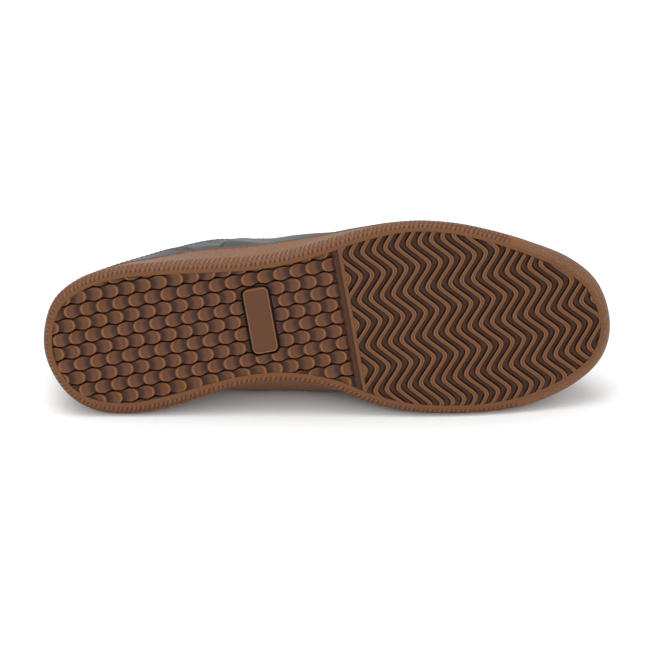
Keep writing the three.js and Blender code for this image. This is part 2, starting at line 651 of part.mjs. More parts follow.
const shoe = new THREE.Group();
for (const [name, geometry, finish] of pieces) {
  const mesh = new THREE.Mesh(geometry, new THREE.MeshStandardMaterial(finish));
  mesh.name = name;
  shoe.add(mesh);
}
shoe.quaternion.copy(lyingTurn());
shoe.updateMatrixWorld(true);
const box = new THREE.Box3().setFromObject(shoe, true);
const middle = box.getCenter(new THREE.Vector3());
shoe.position.set(-middle.x, -middle.y, -box.min.z);

const sneaker = new THREE.Group();
sneaker.add(shoe);
export default sneaker;
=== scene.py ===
"""Right low-top leather sneaker with a moulded gum-rubber sole, lying on its inner side.

Each form is worked out standing, in millimetres: x from the heel to the toe, y to the inner side and
z up from the tread. settle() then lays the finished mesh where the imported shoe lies, in metres.
"""

import json
import logging
import math
from contextlib import contextmanager
from dataclasses import dataclass, field
from enum import Enum
from typing import Any, Callable, Iterable, Iterator, Sequence

import bmesh
import bpy
import numpy as np
from mathutils import Matrix, Vector
from mathutils.bvhtree import BVHTree


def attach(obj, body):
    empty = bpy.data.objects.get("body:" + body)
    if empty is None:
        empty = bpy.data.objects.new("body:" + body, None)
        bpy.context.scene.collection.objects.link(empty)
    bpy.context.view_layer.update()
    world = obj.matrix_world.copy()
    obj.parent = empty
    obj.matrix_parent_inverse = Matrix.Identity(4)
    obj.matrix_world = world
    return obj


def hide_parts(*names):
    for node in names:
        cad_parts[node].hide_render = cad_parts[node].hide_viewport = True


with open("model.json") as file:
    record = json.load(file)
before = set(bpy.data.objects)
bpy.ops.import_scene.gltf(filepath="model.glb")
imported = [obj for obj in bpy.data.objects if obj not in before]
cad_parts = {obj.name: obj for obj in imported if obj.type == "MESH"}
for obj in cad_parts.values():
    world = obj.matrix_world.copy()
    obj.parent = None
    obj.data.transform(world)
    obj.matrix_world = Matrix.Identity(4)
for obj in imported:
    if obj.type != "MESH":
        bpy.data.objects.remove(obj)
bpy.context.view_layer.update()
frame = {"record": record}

LOG = logging.getLogger("sneaker")
MM = 0.001
Array = np.ndarray

# Stations round the sole from the back of the heel by the outer side, the toe and the inner side.
# x and topX are shares of the length, y and topY of the ball width, bulge of the bulge, lip of the
# flare, wall of the wall height, and topZ of the heel or, where throat is 1, of the instep height.
COLUMNS = ("x", "y", "bulge", "lip", "wall", "belly", "topX", "topY", "topZ", "throat")
STATIONS = (
    (0.013, 0.045, 0.80, -0.02, 1.00, -0.18, 0.037, 0.030, 1.000, 0),
    (0.030, -0.163, 0.86, -0.06, 1.00, -0.26, 0.047, -0.060, 0.995, 0),
    (0.075, -0.268, 1.00, -0.02, 1.00, -0.20, 0.077, -0.130, 0.980, 0),
    (0.140, -0.317, 1.00, 0.05, 1.00, -0.12, 0.127, -0.185, 0.930, 0),
    (0.210, -0.320, 1.00, 0.20, 0.98, 0.06, 0.187, -0.240, 0.855, 0),
    (0.290, -0.312, 1.00, 0.40, 0.95, 0.14, 0.253, -0.296, 0.800, 0),
    (0.370, -0.306, 1.00, 0.44, 0.94, 0.02, 0.320, -0.308, 0.812, 0),
    (0.440, -0.322, 1.00, 0.42, 0.93, -0.36, 0.373, -0.262, 0.905, 0.15),
    (0.505, -0.362, 1.00, 0.30, 0.90, -0.52, 0.407, -0.224, 0.960, 0.7),
    (0.575, -0.416, 0.95, 0.14, 0.84, -0.46, 0.440, -0.205, 1.000, 1),
    (0.655, -0.447, 0.90, 0.06, 0.78, -0.22, 0.500, -0.170, 0.930, 1),
    (0.730, -0.420, 0.90, 0.06, 0.75, -0.12, 0.567, -0.145, 0.850, 1),
    (0.800, -0.350, 1.00, 0.10, 0.73, -0.05, 0.627, -0.120, 0.790, 1),
    (0.865, -0.260, 1.10, 0.14, 0.71, 0.00, 0.667, -0.090, 0.750, 1),
    (0.930, -0.145, 1.20, 0.18, 0.70, 0.00, 0.684, -0.050, 0.735, 1),
    (0.975, -0.005, 1.15, 0.18, 0.70, 0.00, 0.691, -0.004, 0.730, 1),
    (0.993, 0.185, 1.05, 0.18, 0.70, 0.00, 0.693, 0.040, 0.729, 1),
    (0.976, 0.340, 1.20, 0.18, 0.70, 0.00, 0.691, 0.084, 0.730, 1),
    (0.928, 0.446, 1.25, 0.18, 0.70, 0.00, 0.684, 0.130, 0.735, 1),
    (0.860, 0.516, 1.18, 0.16, 0.71, 0.00, 0.667, 0.165, 0.750, 1),
    (0.790, 0.542, 1.00, 0.05, 0.73, -0.05, 0.627, 0.192, 0.790, 1),
    (0.715, 0.533, 0.94, 0.00, 0.76, -0.05, 0.567, 0.216, 0.850, 1),
    (0.640, 0.500, 0.97, 0.06, 0.80, -0.10, 0.500, 0.240, 0.930, 1),
    (0.575, 0.434, 1.06, 0.36, 0.85, -0.14, 0.440, 0.265, 1.000, 1),
    (0.510, 0.338, 1.05, 0.86, 0.90, -0.10, 0.407, 0.292, 0.960, 0.7),
    (0.435, 0.279, 1.05, 1.04, 0.93, 0.00, 0.373, 0.320, 0.905, 0.15),
    (0.360, 0.271, 1.05, 1.00, 0.94, 0.14, 0.320, 0.366, 0.812, 0),
    (0.285, 0.305, 1.25, 0.62, 0.95, 0.12, 0.253, 0.356, 0.800, 0),
    (0.215, 0.350, 1.35, 0.24, 0.98, 0.00, 0.187, 0.284, 0.855, 0),
    (0.145, 0.374, 1.28, 0.04, 1.00, 0.00, 0.127, 0.245, 0.930, 0),
    (0.080, 0.340, 1.15, 0.00, 1.00, -0.06, 0.077, 0.190, 0.980, 0),
    (0.035, 0.232, 0.88, 0.08, 1.00, -0.10, 0.047, 0.120, 0.995, 0),
)

# The two marks on the tread, on the standing shoe. The record's mounts say where they lie.
HEEL_MARK = (43.5, 38.6, 0)
FOREFOOT_MARK = (163.142, -9.103, 0)


class Side(Enum):
    """The two sides of the shoe, as the sign of y."""

    OUTER = -1
    INNER = 1


def mix(a: Any, b: Any, f: Any) -> Any:
    """Returns the value a share f of the way from a to b."""
    return a + (b - a) * f


def smoothstep(x: Any, low: float, high: float) -> Any:
    """Returns a smooth rise from 0 at low to 1 at high."""
    f = np.clip((np.asarray(x, dtype=float) - low) / (high - low), 0, 1)
    return f * f * (3 - 2 * f)


def unit(vectors: Array) -> Array:
    """Returns vectors scaled to a length of one."""
    return vectors / np.maximum(np.linalg.norm(vectors, axis=-1, keepdims=True), 1e-12)


def spline(a: Any, b: Any, c: Any, d: Any, f: Any) -> Any:
    """Returns the value a share f of the way from b to c, on a smooth run through a, b, c and d."""
    return b + 0.5 * f * (c - a + f * (2 * a - 5 * b + 4 * c - d + f * (3 * (b - c) + d - a)))


def bell(away: Any, width: float) -> Any:
    """Returns a smooth bump, 1 where away is 0 and fading over a width."""
    return np.exp(-(away / width) ** 2)


def around(columns: int) -> Array:
    """Returns places evenly round the shoe, the last one on the first."""
    return np.arange(columns + 1) / columns * len(STATIONS)


# The standing shoe

@dataclass
class Edge:
    """The sole's edge and the upper's top edge at some places round the shoe."""

    at: Array
    out: Array
    bulge: Array
    lip: Array
    wall: Array
    belly: Array
    top: Array
    throat: Array


@dataclass
class Last:
    """The shoe's driving sizes, and the surfaces that the station table gives from them."""

    length: float = 300
    ball_width: float = 100
    heel_height: float = 79
    instep_height: float = 88
    wall_height: float = 27.5
    bulge: float = 5.5
    bulge_height: float = 5.5
    rim: float = 2.0
    flare: float = 16
    lip_wall: float = 3.5
    band_height: float = 8.5
    band_step: float = 0.7
    footbed_heel: float = 16
    footbed_ball: float = 11
    footbed_slope: tuple[float, float] = (0.28, 0.62)
    foot_flare: float = 0.45
    foot_inset: float = 1.5
    bed_gap: float = 0.3
    toe_spring: float = 15
    toe_break: float = 192
    heel_spring: float = 2.5
    heel_break: float = 14
    side_clearance: float = 0.8
    upper_wall: float = 2.2
    collar_pad: float = 2.6
    crown: float = 3.2

    def column(self, key: str, place: Array) -> Array:
        """Smooths a column of the table.

        Args:
            key: the column's name.
            place: places round the shoe, where each whole number is a station.

        Returns:
            The column's value at each place.
        """
        values = np.array([row[COLUMNS.index(key)] for row in STATIONS])
        i = np.floor(place).astype(int)
        f = place - i
        a, b, c, d = (values[(i + k) % len(STATIONS)] for k in (-1, 0, 1, 2))
        return spline(a, b, c, d, f)

    def spots(self, x: str, y: str, place: Array) -> Array:
        """Returns the points that two columns of the table give at places round the shoe."""
        return np.stack([self.column(x, place) * self.length,
                         self.column(y, place) * self.ball_width], -1)

    def edge(self, place: Array) -> Edge:
        """Works out the edges at some places.

        Args:
            place: places round the shoe.

        Returns:
            The edges there.
        """
        along = unit(self.spots("x", "y", place + 0.05) - self.spots("x", "y", place - 0.05))
        throat = np.clip(self.column("throat", place), 0, 1)
        height = self.column("topZ", place) * mix(self.heel_height, self.instep_height, throat)
        return Edge(at=self.spots("x", "y", place),
                    out=np.stack([along[:, 1], -along[:, 0]], -1),
                    bulge=self.column("bulge", place) * self.bulge,
                    lip=self.column("lip", place) * self.flare,
                    wall=self.column("wall", place) * self.wall_height,
                    belly=self.column("belly", place),
                    top=np.column_stack([self.spots("topX", "topY", place), height]),
                    throat=throat)

    def spring(self, x: Array, z: Array) -> Array:
        """Says how far the sole is lifted at the toe and, on its underside, at the heel.

        Args:
            x: places along the shoe.
            z: heights there.

        Returns:
            The lift at each place.
        """
        toe = np.maximum(0, (x - self.toe_break) / (self.length - self.toe_break))
        heel = np.maximum(0, (self.heel_break - x) / self.heel_break)
        low = np.maximum(0, 1 - z / self.band_height)
        return self.toe_spring * toe ** 2 + self.heel_spring * heel ** 2 * low

    def sprung(self, points: Array, above: bool = False) -> Array:
        """Lifts points by the sole's spring.

        Args:
            points: the points.
            above: whether they stand above the sole, where only the toe is lifted.

        Returns:
            The lifted points.
        """
        lifted = points.copy()
        z = np.array(self.wall_height) if above else points[..., 2]
        lifted[..., 2] += self.spring(points[..., 0], z)
        return lifted

    def footbed(self, x: Array) -> Array:
        """Returns the footbed's height at places along the shoe."""
        low, high = (share * self.length for share in self.footbed_slope)
        return mix(self.footbed_heel, self.footbed_ball, smoothstep(x, low, high))

    def foot_edge(self, edge: Edge) -> Array:
        """Returns how far the footbed's edge lies outside the tread's edge."""
        return self.foot_flare * edge.lip - self.foot_inset

    def ring(self, edge: Edge, outside: Any, height: Any) -> Array:
        """Returns a ring of points outside the tread's edge, at a height above the unsprung ground."""
        flat = edge.at + edge.out * np.broadcast_to(outside, edge.bulge.shape)[:, None]
        return np.column_stack([flat, np.broadcast_to(height, edge.bulge.shape)])

    def shell(self, place: Array, height: Array) -> Array:
        """Works out the upper's outer surface.

        Args:
            place: places round the shoe.
            height: shares of the way from the sole's lip to the top edge.

        Returns:
            Points, a row for each height and a column for each place.
        """
        e = self.edge(place)
        outside = e.lip - self.lip_wall - self.side_clearance
        start = self.sprung(self.ring(e, outside, e.wall), above=True)
        span = e.top - start
        reach = np.linalg.norm(span, axis=1, keepdims=True)
        level = span * (1, 1, 0)
        over = np.minimum(1, np.linalg.norm(level, axis=1, keepdims=True) / reach) * e.throat[:, None]
        # Each section is one cubic arc: it leaves the cup along the belly's slope, and arrives almost
        # upright at the collar but nearly level at the throat.
        rise = unit(np.column_stack([e.out * e.belly[:, None], np.ones(len(place))]))
        ease = unit(np.column_stack([-0.18 * e.out, np.ones(len(place))]))
        arrive = unit(level) * 0.93 + (0, 0, 0.32)
        end = unit(mix(ease, arrive, over ** 0.7))
        a = start + rise * reach * mix(0.36, 0.34, over)
        b = e.top - end * reach * mix(0.36, 0.5, over)
        f = height[:, None, None]
        return (1 - f) ** 3 * start + 3 * f * (1 - f) ** 2 * a + 3 * f * f * (1 - f) * b + f ** 3 * e.top

    def outward(self, place: Array, height: Array) -> Array:
        """Works out the upper's outward direction.

        Args:
            place: places round the shoe.
            height: shares of the way from the sole's lip to the top edge.

        Returns:
            Directions, a row for each height and a column for each place.
        """
        step = 0.05
        across = self.shell(place + step, height) - self.shell(place - step, height)
        above, below = np.minimum(height + step, 1), np.maximum(height - step, 0)
        return unit(np.cross(across, self.shell(place, above) - self.shell(place, below)))

    def skin(self, place: Array, height: Array, distance: Any) -> Array:
        """Returns the upper's surface moved outward by one distance, or by one for each point."""
        return self.shell(place, height) + self.outward(place, height) * np.atleast_3d(distance)

    def throat_place(self, side: Side, x: float) -> float:
        """Finds the place of the throat's edge at a distance from the heel.

        Args:
            side: the side of the shoe.
            x: the distance from the heel.

        Returns:
            The place round the shoe.
        """
        place = np.linspace(9, 15.6, 400) if side is Side.OUTER else np.linspace(23, 16.4, 400)
        return float(np.interp(x, self.column("topX", place) * self.length, place))


LAST = Last()


# Meshes

def mark(name: str) -> Vector:
    """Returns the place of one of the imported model's mounts, in metres."""
    return Vector(next(m["pos_m"] for m in frame["record"]["mounts"] if m["name"] == name))


def lying_matrix() -> Matrix:
    """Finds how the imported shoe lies, from its two marks on the tread.

    Returns:
        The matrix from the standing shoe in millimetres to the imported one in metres.
    """
    heel, forefoot = Vector(HEEL_MARK), Vector(FOREFOOT_MARK)
    down = Vector(frame["record"]["mounts"][0]["axis"])

    def basis(a: Vector, b: Vector, facing: Vector) -> Matrix:
        """Returns the turn whose x runs from a to b and whose z is opposite to facing."""
        up = -facing.normalized()
        x = (b - a).normalized()
        return Matrix((x, up.cross(x), up)).transposed()

    packed = basis(mark("tread_heel"), mark("tread_forefoot"), down)
    turn = packed @ basis(heel, forefoot, Vector((0, 0, -1))).inverted()
    shift = mark("tread_heel") - turn @ (heel * MM)
    return Matrix.Translation(shift) @ turn.to_4x4() @ Matrix.Scale(MM, 4)


LYING = lying_matrix()


def choose(*objs: bpy.types.Object) -> None:
    """Makes some objects the whole selection, and the first one active.

    Args:
        objs: the objects, or none to clear the selection.
    """
    bpy.ops.object.select_all(action="DESELECT")
    for obj in objs:
        obj.select_set(True)
    if objs:
        bpy.context.view_layer.objects.active = objs[0]


def named(name: str) -> bpy.types.Object:
    """Names the object that an operator has just added, and returns it."""
    obj = bpy.context.object
    obj.name = obj.data.name = name
    return obj


def move_points(obj: bpy.types.Object, points: Array) -> None:
    """Moves all of an object's points to the places given, in millimetres."""
    obj.data.vertices.foreach_set("co", points.astype(np.float32).ravel())
    obj.data.update()


def paint(obj: bpy.types.Object, key: str, values: Array) -> None:
    """Gives an object's points an attribute that its material reads."""
    layer = obj.data.attributes.new(key, "FLOAT", "POINT")
    layer.data.foreach_set("value", np.ascontiguousarray(values, dtype=np.float32).ravel())


def grid(name: str, points: Array, **marks: Array) -> bpy.types.Object:
    """Shapes a grid primitive into rows of points.

    Args:
        name: the object's name.
        points: rows of points, in millimetres.
        marks: a number for each point, by the name of the attribute that its material reads.

    Returns:
        The new object.
    """
    rows, columns = points.shape[:2]
    choose()
    bpy.ops.mesh.primitive_grid_add(x_subdivisions=columns - 1, y_subdivisions=rows - 1, size=1)
    obj = named(name)
    for key, values in marks.items():
        paint(obj, key, values)
    move_points(obj, points)
    return obj


def operate(obj: bpy.types.Object, *steps: Callable[[], Any]) -> bpy.types.Object:
    """Runs edit-mode steps on an object with all of it selected.

    Args:
        obj: the object.
        steps: calls to make in edit mode.

    Returns:
        The object.
    """
    choose(obj)
    bpy.ops.object.mode_set(mode="EDIT")
    bpy.ops.mesh.select_all(action="SELECT")
    for step in steps:
        step()
    bpy.ops.object.mode_set(mode="OBJECT")
    return obj


def weld() -> None:
    """Merges what is in the same place and turns all faces outwards."""
    bpy.ops.mesh.remove_doubles(threshold=0.002)
    bpy.ops.mesh.select_all(action="SELECT")
    bpy.ops.mesh.normals_make_consistent(inside=False)


def fit(obj: bpy.types.Object, kind: str, **settings: Any) -> bpy.types.Object:
    """Adds a modifier to an object and applies it.

    Args:
        obj: the object.
        kind: the modifier's type.
        settings: its settings by name.

    Returns:
        The object.
    """
    choose(obj)
    modifier = obj.modifiers.new(kind.lower(), kind)
    for key, value in settings.items():
        setattr(modifier, key, value)
    bpy.ops.object.modifier_apply(modifier=modifier.name)
    return obj


def carve(obj: bpy.types.Object, tool: bpy.types.Object, operation: str) -> bpy.types.Object:
    """Cuts an object by another closed form, which is then removed.

    Args:
        obj: the object that stays.
        tool: the form that cuts it.
        operation: DIFFERENCE or INTERSECT.

    Returns:
        The cut object.
    """
    fit(obj, "BOOLEAN", operation=operation, solver="EXACT", object=tool)
    bpy.data.objects.remove(tool)
    return obj


def join(name: str, objs: Sequence[bpy.types.Object]) -> bpy.types.Object:
    """Joins objects into the first one.

    Args:
        name: what the joined object is called.
        objs: the objects.

    Returns:
        The joined object.
    """
    choose(*objs)
    if len(objs) > 1:
        bpy.ops.object.join()
    return named(name)


def soften(obj: bpy.types.Object, width: float, segments: int) -> bpy.types.Object:
    """Rounds an object's sharp edges over a width in millimetres, and returns it."""
    return fit(obj, "BEVEL", width=width, segments=segments, limit_method="ANGLE",
               angle_limit=math.radians(50))


@contextmanager
def opened(obj: bpy.types.Object) -> Iterator[bmesh.types.BMesh]:
    """Opens an object's mesh for changes, and writes it back at the end of the block.

    Args:
        obj: the object.

    Yields:
        The open mesh.
    """
    work = bmesh.new()
    work.from_mesh(obj.data)
    yield work
    work.to_mesh(obj.data)
    work.free()


def closed(obj: bpy.types.Object) -> bpy.types.Object:
    """Welds an object, fills its open ends and turns its faces outwards.

    Args:
        obj: the object.

    Returns:
        The object.
    """
    operate(obj, weld)
    with opened(obj) as work:
        bmesh.ops.holes_fill(work, edges=[e for e in work.edges if e.is_boundary], sides=0)
        bmesh.ops.triangulate(work, faces=[f for f in work.faces if len(f.verts) > 4])
        bmesh.ops.recalc_face_normals(work, faces=work.faces[:])
    return obj


def backed(obj: bpy.types.Object, depth: float) -> bpy.types.Object:
    """Closes an open patch of tread by drawing its border up into the sole.

    Args:
        obj: the patch, facing down.
        depth: height of its back above the unsprung ground.

    Returns:
        The closed patch.
    """
    with opened(obj) as work:
        border = [e for e in work.edges if e.is_boundary]
        made = bmesh.ops.extrude_edge_only(work, edges=border)["geom"]
        for v in (g for g in made if isinstance(g, bmesh.types.BMVert)):
            v.co.z = depth + float(LAST.spring(np.array(v.co.x), np.array(0.0)))
        rims = [g for g in made if isinstance(g, bmesh.types.BMEdge)]
        bmesh.ops.edgeloop_fill(work, edges=rims)
    return obj


def settle(obj: bpy.types.Object, finishes: Sequence[bpy.types.Material], angle: float,
           nodes: Sequence[str] = ()) -> bpy.types.Object:
    """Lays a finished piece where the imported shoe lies, and dresses it.

    Args:
        obj: the standing piece, in millimetres.
        finishes: its materials, in the order of its faces' material numbers.
        angle: edges sharper than this many degrees stay sharp.
        nodes: the CAD nodes that the piece stands for.

    Returns:
        The piece.
    """
    obj.data.transform(LYING)
    obj.data.materials.clear()
    for finish in finishes:
        obj.data.materials.append(finish)
    choose(obj)
    bpy.ops.object.shade_smooth_by_angle(angle=math.radians(angle))
    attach(obj, "root")
    if nodes:
        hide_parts(*nodes)
    LOG.info("%s: %d faces", obj.name, len(obj.data.polygons))
    return obj


# Finishes

def linear(colour: str) -> tuple[float, float, float, float]:
    """Turns an sRGB hex colour such as #8a5a3c into linear red, green, blue and alpha."""
    parts = [int(colour[k:k + 2], 16) / 255 for k in (1, 3, 5)]
    return (*(p / 12.92 if p <= 0.04045 else ((p + 0.055) / 1.055) ** 2.4 for p in parts), 1.0)


def add_node(tree: bpy.types.NodeTree, kind: str, settings: dict[str, Any] | None = None,
             **links: Any) -> bpy.types.Node:
    """Adds a node with its settings and links.

    Args:
        tree: the material's or world's node tree.
        kind: the node's type name.
        settings: properties by name, and input values by the input's name or number.
        links: what feeds an input, by its name with spaces as underscores, or by its number after i.

    Returns:
        The node.
    """
    node = tree.nodes.new(kind)
    for key, value in (settings or {}).items():
        if isinstance(key, str) and hasattr(node, key):
            setattr(node, key, value)
        else:
            node.inputs[key].default_value = value
    for key, source in links.items():
        target = int(key[1:]) if key[0] == "i" and key[1:].isdigit() else key.replace("_", " ")
        output = source if isinstance(source, bpy.types.NodeSocket) else source.outputs[0]
        tree.links.new(output, node.inputs[target])
    return node


def reading(tree: bpy.types.NodeTree, name: str) -> bpy.types.NodeSocket:
    """Returns the value of one of the mesh's attributes."""
    return add_node(tree, "ShaderNodeAttribute", {"attribute_name": name}).outputs["Fac"]


def rescaled(tree: bpy.types.NodeTree, source: Any, given: tuple[float, float],
             wanted: tuple[float, float]) -> bpy.types.Node:
    """Returns a node that turns one range of a source's values into another."""
    return add_node(tree, "ShaderNodeMapRange",
                    {1: given[0], 2: given[1], 3: wanted[0], 4: wanted[1]}, i0=source)


def combined(tree: bpy.types.NodeTree, operation: str, a: Any, b: Any) -> bpy.types.Node:
    """Returns a node that does a sum or a product of two sources."""
    return add_node(tree, "ShaderNodeMath", {"operation": operation}, i0=a, i1=b)


def blended(tree: bpy.types.NodeTree, share: Any, under: Any, colour: str) -> bpy.types.NodeSocket:
    """Returns what is under, with a share of a colour laid over it."""
    node = add_node(tree, "ShaderNodeMix", {"data_type": "RGBA", 7: linear(colour)}, i0=share, i6=under)
    return node.outputs[2]


def ramp(tree: bpy.types.NodeTree, source: Any, stops: Iterable[tuple[float, str]]) -> bpy.types.Node:
    """Adds a colour ramp that is fed by a source.

    Args:
        tree: the node tree.
        source: what the ramp reads.
        stops: each stop's place and sRGB colour.

    Returns:
        The ramp node.
    """
    node = add_node(tree, "ShaderNodeValToRGB", i0=source)
    points = node.color_ramp.elements
    for k, (place, colour) in enumerate(stops):
        point = points[k] if k < 2 else points.new(place)
        point.position = place
        point.color = linear(colour)
    return node


@dataclass(frozen=True)
class Finish:
    """What every finish has: a material with a node tree and a main shader."""

    name: str = "finish"
    roughness: float = 0.5
    ior: float = 1.5

    def start(self) -> tuple[bpy.types.Material, bpy.types.NodeTree, bpy.types.Node]:
        """Makes the material.

        Returns:
            The material, its node tree and its main shader.
        """
        material = bpy.data.materials.new(self.name)
        material.use_nodes = True
        tree = material.node_tree
        shader = tree.nodes["Principled BSDF"]
        shader.inputs["Roughness"].default_value = self.roughness
        shader.inputs["IOR"].default_value = self.ior
        return material, tree, shader

    def noise(self, tree: bpy.types.NodeTree, grain: float, detail: float = 3,
              rough: float = 0.5) -> bpy.types.Node:
        """Adds a noise.

        Args:
            tree: the node tree.
            grain: about how many millimetres its grains are across.
            detail: how many finer layers it has.
            rough: how strong the finer layers are.

        Returns:
            The noise node.
        """
        place = add_node(tree, "ShaderNodeTexCoord")
        return add_node(tree, "ShaderNodeTexNoise",
                        {"Scale": 1 / (grain * MM), "Detail": detail, "Roughness": rough},
                        Vector=place.outputs["Object"])

    def bump(self, tree: bpy.types.NodeTree, shader: bpy.types.Node,
             layers: Sequence[tuple[Any, float, float]]) -> None:
        """Feeds the shader's normal with layers of bump.

        Args:
            tree: the node tree.
            shader: the main shader.
            layers: each layer's source, strength and depth in millimetres.
        """
        previous = None
        for source, strength, depth in layers:
            links = {"Height": source}
            if previous is not None:
                links["Normal"] = previous
            previous = add_node(tree, "ShaderNodeBump",
                                {"Strength": strength, "Distance": depth * MM}, **links)
        tree.links.new(previous.outputs[0], shader.inputs["Normal"])


@dataclass(frozen=True)
class GumRubber(Finish):
    """Gum rubber, moulded: warm brown, with painted highlights on raised edges and painted shade and
    dirt in grooves.

    The smooth wall has a cloudy bloom, as from a blasted mould, with fine pale flecks painted on as
    glints.
    """

    name: str = "moulded gum rubber"
    roughness: float = 0.5
    ior: float = 1.52
    # Painted tones: the two darkest are shade, with some dirt, in grooves; the palest is a highlight on
    # raised edges.
    groove: str = "#1c0904"
    hollow: str = "#462b1f"
    body: str = "#5e3a22"
    painted_highlight: str = "#8a5c36"
    bloom: str = "#644431"
    glint: str = "#a58570"
    spark: float = 0.7
    mottle: float = 9.0

    def build(self) -> bpy.types.Material:
        """Builds the material. Its relief attribute sets painted shade in grooves and a painted
        highlight on raised edges, and its wall attribute marks where the bloom and the painted glints
        lie.

        Returns:
            The material.
        """
        material, tree, shader = self.start()
        # The relief attribute picks a painted tone: shade and dirt where it is low, a highlight where it
        # is high.
        tone = ramp(tree, reading(tree, "relief"), [
            (0.0, self.groove), (1.0, self.painted_highlight), (0.2, self.hollow),
            (0.5, self.body), (0.75, self.body)])
        wall = reading(tree, "wall")
        patch = rescaled(tree, self.noise(tree, self.mottle, 5, 0.6), (0.35, 0.7), (0.55, 1.0))
        clouded = blended(tree, combined(tree, "MULTIPLY", patch, wall), tone, self.bloom)
        # Pale flecks on the wall are painted glints, standing for the sparkle of its fine grain.
        pits = self.noise(tree, self.spark, 2, 0.5)
        glint_mask = rescaled(tree, pits, (0.5, 0.68), (0.0, 0.4))
        glinted = blended(tree, combined(tree, "MULTIPLY", glint_mask, wall), clouded, self.glint)
        tree.links.new(glinted, shader.inputs["Base Color"])
        soft = self.noise(tree, 5.0, 3, 0.5)
        gloss = rescaled(tree, pits, (0.3, 0.7), (0.42, 0.6))
        tree.links.new(gloss.outputs[0], shader.inputs["Roughness"])
        shader.inputs["Specular IOR Level"].default_value = 0.22
        self.bump(tree, shader, [(soft, 0.25, 0.3), (pits, 0.5, 0.14)])
        return material


@dataclass(frozen=True)
class Leather(Finish):
    """Full-grain leather, pigmented and pressed: satin, with a pebble grain and paler rubbed places.

    Its cut edges are painted darker, so that the seam between two panels shows as a thin line.
    """

    name: str = "pressed full-grain leather"
    roughness: float = 0.55
    ior: float = 1.5
    body: str = "#25282b"
    # On the leather this is its own paler tone of rubbed places, spread by a random cloud.
    wear_and_highlight: str = "#373b3f"
    edge: str = "#121315"
    pebble: float = 1.3

    def build(self) -> bpy.types.Material:
        """Returns the material."""
        material, tree, shader = self.start()
        cloud = self.noise(tree, 22, 4, 0.6)
        tone = ramp(tree, cloud, [(0.35, self.body), (0.75, self.wear_and_highlight)])
        edged = blended(tree, reading(tree, "edge"), tone, self.edge)
        tree.links.new(edged, shader.inputs["Base Color"])
        place = add_node(tree, "ShaderNodeTexCoord")
        cells = add_node(tree, "ShaderNodeTexVoronoi",
                         {"feature": "SMOOTH_F1", "Scale": 1 / (self.pebble * MM), "Smoothness": 0.6},
                         Vector=place.outputs["Object"])
        pores = self.noise(tree, 0.5, 2, 0.5)
        gloss = rescaled(tree, cloud, (0.3, 0.7), (0.46, 0.6))
        tree.links.new(gloss.outputs[0], shader.inputs["Roughness"])
        self.bump(tree, shader, [(cells.outputs["Distance"], 0.5, 0.18), (pores, 0.2, 0.06)])
        shader.inputs["Specular IOR Level"].default_value = 0.4
        shader.inputs["Coat Weight"].default_value = 0.05
        shader.inputs["Coat Roughness"].default_value = 0.35
        return material


@dataclass(frozen=True)
class Cloth(Finish):
    """Polyester cloth, knitted or braided: dull, with a soft sheen and thread ridges.

    The threads are drawn coarser than real ones so that they show. Along a lace they follow its length.
    """

    name: str = "knitted polyester lining"
    roughness: float = 0.9
    body: str = "#26282b"
    raised: str = "#3a3d41"
    thread: float = 1.1
    along_uv: bool = False

    def build(self) -> bpy.types.Material:
        """Returns the material."""
        material, tree, shader = self.start()
        place = add_node(tree, "ShaderNodeTexCoord")
        if self.along_uv:
            spot = place.outputs["UV"]
            scale = 1 / self.thread
        else:
            spot = place.outputs["Object"]
            scale = 1 / (self.thread * MM)
        ridges = {"Scale": scale * 0.16, "Distortion": 0.6, "Detail": 1.0}
        waves = [add_node(tree, "ShaderNodeTexWave", {"bands_direction": way, **ridges}, Vector=spot)
                 for way in ("X", "Y", "Z")]
        knit = combined(tree, "ADD", combined(tree, "MULTIPLY", waves[0], waves[1]), waves[2])
        tone = ramp(tree, knit, [(0.2, self.body), (1.0, self.raised)])
        tree.links.new(tone.outputs[0], shader.inputs["Base Color"])
        fuzz = self.noise(tree, 0.4, 2, 0.5)
        self.bump(tree, shader, [(knit, 0.5, 0.25), (fuzz, 0.2, 0.1)])
        shader.inputs["Sheen Weight"].default_value = 0.25
        shader.inputs["Sheen Roughness"].default_value = 0.5
        return material


@dataclass(frozen=True)
class Paper(Finish):
    """A sweep of matt pale paper, which gives an even ground with no gloss and only a soft shadow."""

    name: str = "matt pale paper"
    roughness: float = 0.9
    body: str = "#ececec"
    fibre: str = "#efefef"

    def build(self) -> bpy.types.Material:
        """Returns the material."""
        material, tree, shader = self.start()
        tone = ramp(tree, self.noise(tree, 3.0, 2, 0.5), [(0.3, self.body), (0.8, self.fibre)])
        tree.links.new(tone.outputs[0], shader.inputs["Base Color"])
        return material


# Sole

